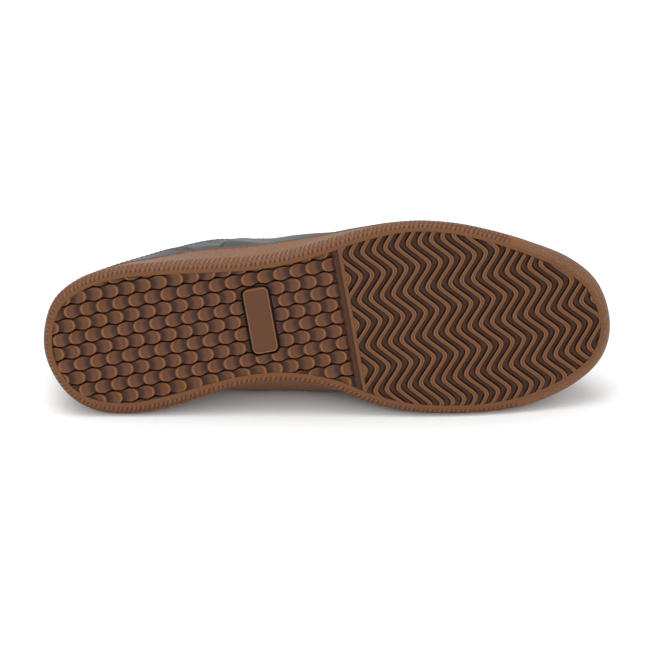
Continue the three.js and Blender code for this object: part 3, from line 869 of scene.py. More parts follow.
@dataclass
class Outsole:
    """The moulded cup: its rim, side wall with a textured band, lip and footbed."""

    columns: int = 1408
    pair: float = 5.1
    slashes: tuple[float, float] = (0.0, 2.3)
    slash_width: float = 0.58
    slash_depth: float = 0.4
    slant: float = 0.3
    rows: tuple[tuple[float, float], tuple[float, float]] = ((0.3, 2.6), (3.5, 9.6))
    line: float = 3.05
    plain_from: float = 247
    back: float = 3.6
    rim_row: int = 3
    # The rim and wall are painted pale, near the highlight tone; the band's cuts are painted darker as
    # shade.
    wear_and_highlight: tuple[float, float] = (0.8, 0.84)
    cut_shade: float = 0.64

    def profile(self, e: Edge) -> list[tuple[Any, Any]]:
        """Lists the wall's section from the tread to the footbed.

        Args:
            e: the edges at the wall's columns.

        Returns:
            Pairs of the distance outside the tread's edge and the height.
        """
        last = LAST

        def wall(z: float) -> Any:
            """Returns how far the wall stands outside the tread's edge at a height."""
            return mix(e.bulge, e.lip, (z - last.bulge_height) / (e.wall - last.bulge_height))

        rim = [(last.rim + (e.bulge - last.rim) * math.sin(t), last.bulge_height * (1 - math.cos(t)))
               for t in np.linspace(0, math.pi / 2, 12)]
        band = [(wall(z), z) for z in np.linspace(last.bulge_height, last.band_height, 12)[1:]]
        foot = (wall(last.band_height) - last.band_step, last.band_height + last.band_step)
        head = (e.lip - last.band_step / 2, e.wall - last.lip_wall / 2)
        smooth = [(mix(foot[0], head[0], f), mix(foot[1], head[1], f)) for f in np.linspace(0, 1, 8)]
        bead = [(e.lip - 0.15 + 0.3 * math.sin(t * math.pi), e.wall - last.lip_wall / 2 + 0.7 * t)
                for t in (0.25, 0.5, 0.75)]
        crown = [(e.lip - 1.2 + 1.2 * math.cos(t), e.wall - 1.0 + 1.0 * math.sin(t))
                 for t in np.linspace(0, math.pi / 2, 5)]
        inner = e.lip - last.lip_wall
        bed = [(inner + 0.3, e.wall), (inner, e.wall - 0.3)]
        floor = [(last.foot_edge(e), last.footbed(e.at[:, 0]))]
        under = [(0, self.back), (0, 0.25), (0.25, 0)]
        return [*under, *rim, *band, foot, *smooth[1:], *bead, *crown, *bed, *floor]

    def pattern(self, run: Array, rise: Array, x: Array) -> Array:
        """Says how deep the band's slashes and its middle line cut.

        Args:
            run: distance round the wall.
            rise: distance of each point from the rim, up the wall's section.
            x: place of each point along the shoe.

        Returns:
            Shares of the full depth, from 0 to 1.
        """
        depth = np.zeros_like(rise)
        for low, high in self.rows:
            past = smoothstep(rise, high - 0.4, high + 0.4)
            inside = smoothstep(rise, low - 0.3, low + 0.3) * (1 - past)
            for shift in self.slashes:
                phase = (run - self.slant * rise - shift) % self.pair
                away = np.minimum(phase, self.pair - phase)
                cut = 1 - smoothstep(away, 0.3 * self.slash_width, 0.9 * self.slash_width)
                depth = np.maximum(depth, cut * inside)
        middle = 1 - smoothstep(np.abs(rise - self.line), 0.12, 0.5)
        depth = np.maximum(depth, 0.8 * middle)
        return depth * (1 - smoothstep(x, self.plain_from, self.plain_from + 4))

    def build(self, rubber: bpy.types.Material) -> bpy.types.Object:
        """Builds and dresses the cup.

        Args:
            rubber: its finish.

        Returns:
            The piece.
        """
        place = around(self.columns)
        e = LAST.edge(place)
        outline = e.at + e.out * e.bulge[:, None]
        step = np.linalg.norm(np.diff(outline, axis=0), axis=1)
        run = np.concatenate([[0], np.cumsum(step)])
        run *= round(run[-1] / self.pair) * self.pair / run[-1]
        section = self.profile(e)
        outside = np.array([np.broadcast_to(o, place.shape) for o, _ in section], dtype=float)
        z = np.array([np.broadcast_to(h, place.shape) for _, h in section], dtype=float)
        length = np.hypot(np.diff(outside, axis=0), np.diff(z, axis=0))
        rise = np.vstack([np.zeros(len(place)), np.cumsum(length, axis=0)])
        rise = rise - rise[self.rim_row]
        cut = self.pattern(run[None, :], rise, e.at[None, :, 0])
        flat = LAST.ring(e, 0, 0)[:, :2]
        spots = flat[None] + e.out[None] * (outside - self.slash_depth * cut)[..., None]
        points = LAST.sprung(np.dstack([spots, z + 0.35 * cut * (z < 1.5) * (rise > 0)]))
        # Painted tone: pale on rim and wall, and darker by depth in the slashes and middle line as
        # painted shade.
        relief = np.where(rise < 0.3, *self.wear_and_highlight) - self.cut_shade * cut
        relief[0] = 0
        smooth = smoothstep(z, LAST.band_height, LAST.band_height + 2)
        bumper = smoothstep(e.at[:, 0], self.plain_from, self.plain_from + 25)[None, :] * (rise > 0.5)
        wall = grid("cupsole", points, relief=relief, wall=np.maximum(smooth, bumper))
        return settle(closed(wall), [rubber], 40, ["outsole"])


@dataclass(frozen=True)
class Plate:
    """The label plate's middle in the tread's pattern, its sizes, and the groove round it."""

    x: float = 115.1
    y: float = 9.6
    length: float = 13.6
    width: float = 36
    corner: float = 3
    groove: float = 1.2


# A section across one rib: the place along it, the height, and the tone, painted as shade and highlight.
# The tone is painted shade down in the grooves and a painted highlight on the edges of the rib's top.
RIB = ((-3.085, 3.0, 0.26), (-2.1, 2.95, 0.24), (-1.6, 2.7, 0.06), (-1.45, 1.2, 0.0),
       (-1.28, 0.35, 0.5), (-0.88, 0.06, 1.0), (0.0, 0.0, 0.55), (0.88, 0.06, 1.0),
       (1.28, 0.35, 0.5), (1.45, 1.2, 0.0), (1.6, 2.7, 0.06), (2.1, 2.95, 0.24))

# A section along one scale, from under its neighbour to its nose: share of the pitch, height, painted
# tone.
# The tone is painted shade in the valley and a painted highlight at the nose.
SCALE = ((0.0, 1.6, 0.13), (0.14, 1.6, 0.12), (0.27, 1.45, 0.24), (0.4, 1.1, 0.5), (0.54, 0.75, 0.62),
         (0.67, 0.42, 0.7), (0.77, 0.14, 0.82), (0.84, 0.0, 0.96), (0.89, 0.08, 0.8), (0.94, 0.5, 0.5),
         (0.98, 1.1, 0.28))

# A section across one scale: share of its half width, the least height, painted tone, and the hollow.
# The tone falls to painted shade at the shoulders, where the rows meet.
SCALE_ACROSS = ((-1, 2.5, 0, 0), (-0.97, 1.2, 0.1, 0), (-0.9, 0.35, 0.75, 0), (-0.8, 0.06, 1, -0.12),
                (-0.6, 0, 1, 0.1), (-0.3, 0, 1, 0.22), (0, 0, 1, 0.25), (0.3, 0, 1, 0.22),
                (0.6, 0, 1, 0.1), (0.8, 0.06, 1, -0.12), (0.9, 0.35, 0.75, 0), (0.97, 1.2, 0.1, 0),
                (1, 2.5, 0, 0))


@dataclass
class Tread:
    """The moulded pattern under the sole, turned with the mould's own axes."""

    turn: float = math.radians(-6)
    deck: float = 3
    back: float = 4.2
    divider: tuple[float, float] = (162.1, 164.3)
    landing: float = 3.2
    rib_pitch: float = 6.17
    wave_height: float = 4.6
    wave_length: float = 25.8
    wave_crest: float = 21.2
    wave_round: float = 0.86
    scale_pitch: float = 8.7
    scale_row: float = 7.32
    scale_gap: float = 0.35
    scale_tip: float = 62.1
    scale_shift: float = 2.6
    scale_line: float = 8.2
    scale_swell: float = 0.45
    scale_nose: float = 2.6
    fillet: float = 1.6
    plate: Plate = Plate()
    outline: Array = field(init=False)
    outline_out: Array = field(init=False)

    def __post_init__(self) -> None:
        """Works out the tread's outline once."""
        e = LAST.edge(around(1200)[:-1])
        self.outline = e.at
        self.outline_out = e.out

    def to_shoe(self, px: Array, py: Array) -> tuple[Array, Array]:
        """Turns places in the pattern into places on the shoe."""
        c, s = math.cos(self.turn), math.sin(self.turn)
        return px * c - py * s, px * s + py * c

    def beyond(self, x: Array, y: Array) -> Array:
        """Measures how far points lie outside the tread's outline.

        Args:
            x: places along the shoe.
            y: places across it.

        Returns:
            Distances, negative inside.
        """
        spots = np.column_stack([x.ravel(), y.ravel()])
        result = np.empty(len(spots))
        for first in range(0, len(spots), 4000):
            part = spots[first:first + 4000]
            away = part[:, None, :] - self.outline[None, :, :]
            near = np.argmin((away ** 2).sum(-1), axis=1)
            pick = away[np.arange(len(part)), near]
            side = (pick * self.outline_out[near]).sum(-1)
            result[first:first + 4000] = np.sign(side) * np.linalg.norm(pick, axis=1)
        return result.reshape(x.shape)

    def patch(self, name: str, px: Array, py: Array, z: Array, tone: Any,
              drop: Callable[[Array, Array], Array]) -> bpy.types.Object:
        """Builds a patch of tread from a height field.

        Args:
            name: the patch's name.
            px: rows of places along the pattern.
            py: rows of places across it.
            z: heights above the ground, before the toe's spring.
            tone: each point's painted tone, from 0, shade in grooves, to 1, a highlight on raised edges.
            drop: says which points are left out besides those beyond the rim.

        Returns:
            The closed patch.
        """
        x, y = self.to_shoe(px, py)
        away = self.beyond(x, y)
        floor = mix(self.deck, self.deck - self.fillet, smoothstep(away, -1.3, 0.1))
        given = z
        z = np.minimum(z, floor)
        z = np.where(away > 0.25, np.maximum(z, 0.5), z)
        # Where the floor cuts the form off, the tone is painted paler towards the ground face, as shade
        # deepening inwards.
        relief = np.where(z < given, np.maximum(tone, np.clip(0.9 - z / self.deck, 0, 0.6)), tone)
        obj = grid(name, LAST.sprung(np.stack([x, y, z], -1)), relief=relief)
        gone = ((away > 1.4) | drop(px, py)).ravel()
        with opened(obj) as work:
            bmesh.ops.delete(work, geom=[v for v in work.verts if gone[v.index]], context="VERTS")
            loose = [v for v in work.verts if not v.link_faces]
            bmesh.ops.delete(work, geom=loose, context="VERTS")
        return backed(obj, self.back)

    def wave(self, py: Array) -> Array:
        """Returns a rib's offset along the pattern: a zigzag with rounded turns."""
        phase = 2 * math.pi * (py - self.wave_crest) / self.wave_length
        return self.wave_height * np.arcsin(self.wave_round * np.cos(phase)) / math.asin(self.wave_round)

    def ribs(self, rubber: bpy.types.Material) -> bpy.types.Object:
        """Builds the zigzag ribs under the forefoot, with the bar behind them.

        Args:
            rubber: their finish.

        Returns:
            The piece.
        """
        first = self.divider[0] - 1
        count = math.ceil((1.02 * LAST.length - first) / self.rib_pitch)
        along = np.array([first + k * self.rib_pitch + s for k in range(count) for s, _, _ in RIB])
        height = np.array([z for _ in range(count) for _, z, _ in RIB])
        tone = np.array([t for _ in range(count) for _, _, t in RIB])
        across = np.arange(-62, 88, 1.3)
        px = along[None, :] + self.wave(across)[:, None]
        py = np.broadcast_to(across[:, None], px.shape)
        z = np.where(px < self.divider[0] + 1.0, self.deck + 0.4, height[None, :])
        obj = self.patch("tread_forefoot", px, py, z, np.broadcast_to(tone, px.shape),
                         lambda a, b: a < self.divider[0] + 0.2)
        bar = self.bar()
        return settle(join("tread_forefoot", [obj, bar]), [rubber], 50)

    def bar(self) -> bpy.types.Object:
        """Builds the bar across the tread between its two patterns.

        Returns:
            The bar, closed.
        """
        low, high = self.divider
        section = ((low, self.back), (low, 0.5), (low + 0.25, 0.12), (low + 0.7, 0.0), (high - 0.7, 0.0),
                   (high - 0.25, 0.12), (high, 0.5), (high, self.back))
        across = np.arange(-62, 62.1, 1.0)
        px = np.array([[x for x, _ in section]] * len(across))
        py = np.broadcast_to(across[:, None], px.shape)
        z = np.array([[h for _, h in section]] * len(across))
        x, y = self.to_shoe(px, py)
        keep = (self.beyond(x, y) < 0.9).all(axis=1)
        z = np.where(self.beyond(x, y) > 0.2, np.maximum(z, 0.4), z)
        points = LAST.sprung(np.stack([x, y, z], -1))[keep]
        # Painted shade: the tone is darker the deeper it lies.
        relief = np.clip(0.85 - z / self.deck, 0, 0.8)[keep]
        return operate(grid("bar", points, relief=relief), self.close_ends)

    @staticmethod
    def close_ends() -> None:
        """Fills an open form in edit mode and turns its faces out."""
        bpy.ops.mesh.select_all(action="DESELECT")
        bpy.ops.mesh.select_non_manifold()
        bpy.ops.mesh.edge_face_add()
        bpy.ops.mesh.select_all(action="SELECT")
        bpy.ops.mesh.normals_make_consistent(inside=False)

    def half_width(self, px: Array, forward: bool) -> Array:
        """Returns half the width of a row of scales, which swells where its neighbours are narrow."""
        widest = self.scale_tip - 5.22 + (0 if forward else self.scale_pitch / 2)
        swell = self.scale_swell * np.cos(2 * math.pi * (px - widest) / self.scale_pitch)
        return (self.scale_row - self.scale_gap) / 2 + swell

    def scale_rows(self) -> list[bpy.types.Object]:
        """Builds the rows of scales. Each scale rises to a round nose, in turn to the toe and the heel.

        Returns:
            The rows.
        """
        across, shoulder, wear_and_highlight, hollow = np.array(SCALE_ACROSS, dtype=float).T
        nose = self.scale_nose * np.abs(across) ** 3.6
        end = self.divider[0] - self.landing
        rows = []
        for r in range(-8, 9):
            forward = r % 2 == 0
            way = 1 if forward else -1
            tip = self.scale_tip if forward else self.scale_tip + self.scale_shift
            count = math.ceil((end - tip) / self.scale_pitch) + 1
            starts = [tip + k * self.scale_pitch for k in range(-9, count)]
            if not forward:
                starts = [s + self.scale_pitch for s in starts]
            starts.sort(key=lambda v: way * v)
            along = np.array([s + way * self.scale_pitch * f for s in starts for f, _, _ in SCALE])
            height = np.array([z for _ in starts for _, z, _ in SCALE])
            fall = np.array([f for _ in starts for f, _, _ in SCALE])
            tone = np.array([t for _ in starts for _, _, t in SCALE])[None, :] * wear_and_highlight[:, None]
            px = along[None, :] - way * nose[:, None]
            half = self.half_width(px, forward)
            py = self.scale_line + r * self.scale_row + across[:, None] * half
            dish = hollow[:, None] * np.clip(1.6 * np.minimum(fall, 1.15 - fall), 0, 1)[None, :]
            z = np.maximum(height[None, :] + dish, shoulder[:, None])
            z = np.maximum(z, shoulder[:, None] + 0.35 * height[None, :] * (shoulder[:, None] > 0.05))
            z = np.where(px > end, self.deck + 0.02, np.clip(z, 0, self.deck))
            # The sunk floor past the last scales is painted dark as shade.
            tone = np.where(px > end, 0.15, tone)
            px = np.minimum(px, end + 4.4)
            if not forward:
                px, py, z, tone = px[:, ::-1], py[:, ::-1], z[:, ::-1], tone[:, ::-1]
            rows.append(self.patch("scales", px, py, z, tone, lambda a, b: a > end + 4.3))
        return rows

    def rounded(self, grow: float, low: float, high: float) -> bpy.types.Object:
        """Builds the label plate's rounded form.

        Args:
            grow: how far its sides stand outside the plate.
            low: height of its underside.
            high: height of its top.

        Returns:
            The form, a box with its upright edges bevelled round.
        """
        p = self.plate
        choose()
        x, y = self.to_shoe(np.array(p.x), np.array(p.y))
        bpy.ops.mesh.primitive_cube_add(size=1)
        obj = named("label_plate")
        obj.data.transform(Matrix.Diagonal((p.length + 2 * grow, p.width + 2 * grow, high - low, 1)))
        with opened(obj) as work:
            upright = [e for e in work.edges if abs(e.verts[0].co.z - e.verts[1].co.z) > 0.1]
            bmesh.ops.bevel(work, geom=upright, offset=p.corner + grow, segments=8, profile=0.5,
                            affect="EDGES")
        middle = Matrix.Translation((float(x), float(y), (low + high) / 2))
        obj.data.transform(middle @ Matrix.Rotation(self.turn, 4, "Z"))
        return obj

    def label_plate(self) -> bpy.types.Object:
        """Builds the bare plate, with a raised edge round a slightly sunk face.

        Returns:
            The plate, whose face has its own tone, its edge a painted highlight and its sides painted
            shade.
        """
        # The edge is painted pale as a highlight, the sides dark as shade.
        face_tone, edge_highlight_tone, side_shade_tone = 0.42, 0.95, 0.1
        obj = self.rounded(0, 0.05, self.back)
        with opened(obj) as work:
            face = [f for f in work.faces if f.normal.z < -0.9]
            rim = [e for f in face for e in f.edges]
            bmesh.ops.bevel(work, geom=rim, offset=0.35, segments=3, profile=0.5, affect="EDGES")
            face = [f for f in work.faces if f.normal.z < -0.9]
            bmesh.ops.inset_region(work, faces=face, thickness=0.6, depth=0)
            bmesh.ops.inset_region(work, faces=face, thickness=0.35, depth=-0.3)
            work.verts.index_update()
            widest = max(work.faces, key=lambda f: f.calc_area() * (f.normal.z < -0.9))
            inner = {v.index for v in widest.verts}
        tone = [face_tone if v.index in inner else edge_highlight_tone if v.co.z < 1 else side_shade_tone
                for v in obj.data.vertices]
        paint(obj, "relief", np.array(tone))
        return obj

    def scales(self, rubber: bpy.types.Material) -> bpy.types.Object:
        """Builds the scales under the waist and heel, with the plate let into them.

        Args:
            rubber: their finish.

        Returns:
            The piece.
        """
        rows = join("tread_heel", self.scale_rows())
        carve(rows, self.rounded(self.plate.groove, -1, self.back + 3), "DIFFERENCE")
        whole = join("tread_heel", [rows, self.label_plate(), self.landing_strip()])
        return settle(whole, [rubber], 50)

    def landing_strip(self) -> bpy.types.Object:
        """Builds the low strip between the scales and the bar.

        Returns:
            The strip, closed.
        """
        end = self.divider[0] - self.landing
        along = np.array([end - 5, end, end + 1.5, self.divider[0] + 0.3])
        px, py = np.meshgrid(along, np.arange(-60, 60.1, 1.0))
        z = np.broadcast_to(np.array([3.3, 3.0, 2.95, 2.6]), px.shape)
        # The low strip is painted dark as shade.
        return self.patch("landing", px, py, z, 0.3, lambda a, b: a < -1)


# Upper

@dataclass(frozen=True)
class Hole:
    """A lace hole: its side, row from the top, middle, outward direction and way down."""

    side: Side
    row: int
    at: Array
    out: Array
    down: Array

    def off(self, out: float, up: float = 0) -> Array:
        """Returns the point so far outside the hole and so far up towards the throat's edge."""
        return self.at + self.out * out - self.down * up


@dataclass
class Upper:
    """The leather shell, its padded lining, and the lace holes through both."""

    columns: int = 448
    levels: int = 44
    leather_wall: float = 1.4
    hole_radius: float = 2.2
    hole_rows: int = 6
    hole_inset: float = 9
    throat: tuple[float, float] = (0.44, 0.652)
    creases: tuple[tuple[float, float, float], ...] = ((186, 4.0, 1.1), (197, 3.6, 1.4), (208, 4.2, 0.9))
    ankle_folds: tuple[tuple[float, float, float], ...] = ((98, 5.0, 0.5), (112, 4.5, 0.45))
    belly: float = 1.7
    belly_at: float = 106
    belly_reach: float = 26
    seam: float = 0.05
    place: Array = field(init=False)

    def __post_init__(self) -> None:
        """Places the columns round the shoe, the last one on the first."""
        self.place = around(self.columns)

    def relief(self, points: Array, height: Array) -> Array:
        """Works out the soft creases: across the vamp where the toes bend, and low behind the ankle.

        Args:
            points: the shell's points.
            height: each row's share of the way up.

        Returns:
            How far each point stands out.
        """
        x = points[..., 0]
        f = height[:, None]
        shift = np.zeros_like(x)
        for at, width, depth in self.creases:
            line = at + 5 * (f - 0.5)
            rounded = bell(x - line, width) - 0.55 * bell(x - line - 1.7 * width, width)
            shift -= depth * rounded * smoothstep(f, 0.12, 0.45) * (1 - smoothstep(f, 0.86, 1.0))
        for at, width, depth in self.ankle_folds:
            line = at - 14 * (f - 0.4)
            fold = depth * bell(x - line, width)
            shift -= fold * smoothstep(f, 0.3, 0.5) * (1 - smoothstep(f, 0.66, 0.85))
        outer = smoothstep(-points[..., 1], 12, 25) * smoothstep(f, 0.1, 0.4)
        return shift + self.belly * bell(x - self.belly_at, self.belly_reach) * outer

    def rows(self, height: Array, distance: Any, place: Array | None = None) -> Array:
        """Works out creased rows of the shell, moved outward.

        Args:
            height: shares of the way from the sole's lip to the top edge.
            distance: how far out, one number or one for each point.
            place: places round the shoe, or none for the shell's own columns.

        Returns:
            Points, a row for each height and a column for each place.
        """
        place = self.place if place is None else place
        base = LAST.shell(place, height)
        out = LAST.outward(place, height)
        return base + out * (self.relief(base, height)[..., None] + np.atleast_3d(distance))

    def thickness(self, height: Array) -> Array:
        """Returns the whole wall's thickness, with the foam round the collar."""
        throat = LAST.edge(self.place).throat
        pad = smoothstep(height, 0.5, 0.9)[:, None] * (1 - throat)[None, :]
        return LAST.upper_wall + LAST.collar_pad * pad

    def foot(self, inset: float) -> Array:
        """Works out the shell's lowest ring, inside the cup.

        Args:
            inset: how far it lies inside the shell's outer surface.

        Returns:
            The ring's points.
        """
        e = LAST.edge(self.place)
        outside = LAST.foot_edge(e) - LAST.side_clearance - inset
        return LAST.sprung(LAST.ring(e, outside, LAST.footbed(e.at[:, 0]) + LAST.bed_gap), above=True)

    def edge_roll(self, inner: Array, outer: Array, rise: float, steps: int) -> list[Array]:
        """Rounds a top edge from one ring over to another.

        Args:
            inner: the ring that the roll starts from.
            outer: the ring that it ends on.
            rise: its height, as a share of its width.
            steps: how many rings it has between them.

        Returns:
            The rings between the two.
        """
        top = LAST.shell(self.place, np.array([0.97, 1.0]))
        up = unit(top[1] - top[0])
        width = np.linalg.norm(outer - inner, axis=1, keepdims=True)
        return [mix(inner, outer, (1 - math.cos(t)) / 2) + up * width * rise * math.sin(t)
                for t in np.linspace(0, math.pi, steps + 2)[1:-1]]

    def closed_shell(self, name: str, outside: Array, inside: Array, rise: float) -> bpy.types.Object:
        """Builds a closed form between two walls of rings.

        Args:
            name: its name.
            outside: the outer wall's rings from the foot up.
            inside: the inner wall's rings from the foot up.
            rise: height of the top's roll, as a share of its width.

        Returns:
            The form.
        """
        roll = self.edge_roll(outside[-1], inside[-1], rise, 5)
        rings = [*outside, *roll, *inside[::-1], outside[0]]
        return operate(grid(name, np.array(rings)), weld)

    def shell(self, leather: bpy.types.Material) -> bpy.types.Object:
        """Builds and dresses the leather shell.

        Args:
            leather: its finish.

        Returns:
            The piece.
        """
        height = np.linspace(0, 1, self.levels)
        outside = np.concatenate([[self.foot(0)], self.rows(height, 0)])
        inside = np.concatenate([[self.foot(self.leather_wall)], self.rows(height, -self.leather_wall)])
        shell = self.closed_shell("upper_shell", outside, inside, 0.35)
        carve(shell, self.punches(), "DIFFERENCE")
        return settle(shell, [leather], 45, ["upper"])

    def lining(self, cloth: bpy.types.Material) -> bpy.types.Object:
        """Builds the cloth lining, with its foam swelling between collar and ankle.

        Args:
            cloth: its finish.

        Returns:
            The piece.
        """
        height = np.linspace(0, 1, self.levels)
        wall = self.thickness(height)
        collar = (1 - LAST.edge(self.place).throat)[None, :]
        swell = 0.5 * np.sin(math.pi * smoothstep(height, 0.55, 1.0))[:, None] * collar
        outside = np.concatenate([[self.foot(self.leather_wall + self.seam)],
                                  self.rows(height, -self.leather_wall - self.seam)])
        inside = np.concatenate([[self.foot(LAST.upper_wall)], self.rows(height, -wall - swell)])
        lining = self.closed_shell("padded_lining", outside, inside, 0.5)
        carve(lining, self.punches(), "DIFFERENCE")
        settle(lining, [cloth], 60)
        return lining

    def holes(self) -> list[Hole]:
        """Returns the lace holes."""
        found = []
        for side in Side:
            for row in range(self.hole_rows):
                x = mix(*self.throat, row / (self.hole_rows - 1)) * LAST.length
                place = np.array([LAST.throat_place(side, x)])
                top = LAST.shell(place, np.array([1.0]))[0, 0]
                low = LAST.shell(place, np.array([0.72]))[0, 0]
                down = unit(low - top)
                out = LAST.outward(place, np.array([0.93]))[0, 0]
                found.append(Hole(side, row, top + down * self.hole_inset, out, down))
        return found

    def punches(self) -> bpy.types.Object:
        """Builds the cutters of all lace holes.

        Returns:
            The cutters, as one object.
        """
        tools = []
        for hole in self.holes():
            choose()
            turn = Vector(hole.out).to_track_quat("Z", "Y").to_euler()
            bpy.ops.mesh.primitive_cylinder_add(vertices=20, radius=self.hole_radius, depth=11,
                                                location=hole.at, rotation=turn)
            tools.append(named("punch"))
        tool = join("punches", tools)
        choose(tool)
        bpy.ops.object.transform_apply(location=True, rotation=True, scale=True)
        return tool


class View(Enum):
    """Side views of the overlays, in shares of the shoe's length and heel height."""

    COUNTER = ((-0.2, -0.2), (0.298, -0.2), (0.298, 0), (0.285, 0.36), (0.262, 0.56),
               (0.232, 0.68), (0.18, 0.75), (0.1, 0.8), (0.03, 0.84), (-0.2, 0.86))
    STAY = ((0.306, -0.2), (0.306, 0), (0.322, 0.42), (0.352, 0.68), (0.372, 0.86), (0.384, 1.4),
            (0.78, 1.4), (0.742, 0.72), (0.68, 0.68), (0.6, 0.66), (0.545, 0.55), (0.53, 0.4),
            (0.535, 0), (0.535, -0.2))

    def outline(self, step: float = 1.2) -> Array:
        """Rounds the view's corners.

        Args:
            step: about how far apart its points are.

        Returns:
            The closed line of points in millimetres.
        """
        corners = np.array(self.value) * (LAST.length, LAST.heel_height)
        dense = []
        for a, b in zip(corners, np.roll(corners, -1, axis=0)):
            count = max(2, int(np.linalg.norm(b - a) / step))
            dense.extend(mix(a, b, f) for f in np.arange(count) / count)
        line = np.array(dense)
        for _ in range(12):
            line = (np.roll(line, 1, axis=0) + 2 * line + np.roll(line, -1, axis=0)) / 4
        return line


@dataclass
class Overlay:
    """A leather overlay, cut from a skin over the upper by its outline in side view."""

    name: str
    node: str
    view: View
    upper: Upper
    lift: float = 0.05
    thick: float = 1.5
    piece: bpy.types.Object | None = None

    def skin(self) -> bpy.types.Object:
        """Builds the skin that the overlay is cut from.

        Returns:
            The skin, closed.
        """
        height = np.linspace(0.0, 0.985, self.upper.levels)
        inside = self.upper.rows(height, self.lift)
        outside = self.upper.rows(height, self.lift + self.thick)
        rings = [*outside, *inside[::-1], outside[0]]
        return operate(grid(self.name, np.array(rings)), weld)

    def cutter(self) -> bpy.types.Object:
        """Builds the form that stands across the shoe on the overlay's outline.

        Returns:
            The form, closed.
        """
        line = self.view.outline()
        choose()
        bpy.ops.mesh.primitive_circle_add(vertices=len(line), fill_type="NGON")
        tool = named("cutter")
        reach = 120
        move_points(tool, np.column_stack([line[:, 0], np.full(len(line), -reach), line[:, 1]]))
        return operate(
            tool,
            lambda: bpy.ops.mesh.extrude_region_move(
                TRANSFORM_OT_translate={"value": (0, 2 * reach, 0)}),
            lambda: bpy.ops.mesh.select_all(action="SELECT"),
            lambda: bpy.ops.mesh.normals_make_consistent(inside=False))

    def build(self, punches: bpy.types.Object | None = None) -> "Overlay":
        """Cuts the overlay.

        Args:
            punches: the cutters of its lace holes, if it has any.

        Returns:
            The overlay, with its piece.
        """
        self.piece = carve(self.skin(), self.cutter(), "INTERSECT")
        if punches is not None:
            carve(self.piece, punches, "DIFFERENCE")
        soften(self.piece, 0.35, 2)
        self.paint_edge(self.view.outline())
        return self

    def paint_edge(self, line: Array, reach: float = 2.4) -> None:
        """Marks the cut edge as painted dark.

        Args:
            line: the edge in side view.
            reach: how far the mark runs in from it.
        """
        spots = np.array([v.co for v in self.piece.data.vertices])[:, ::2]
        away = np.array([np.linalg.norm(line - spot, axis=1).min() for spot in spots])
        paint(self.piece, "edge", 1 - smoothstep(away, 0.4 * reach, reach))

    def finish(self, leather: bpy.types.Material) -> bpy.types.Object:
        """Lays the overlay in place, once its stitches have been set on it."""
        return settle(self.piece, [leather], 45, [self.node])


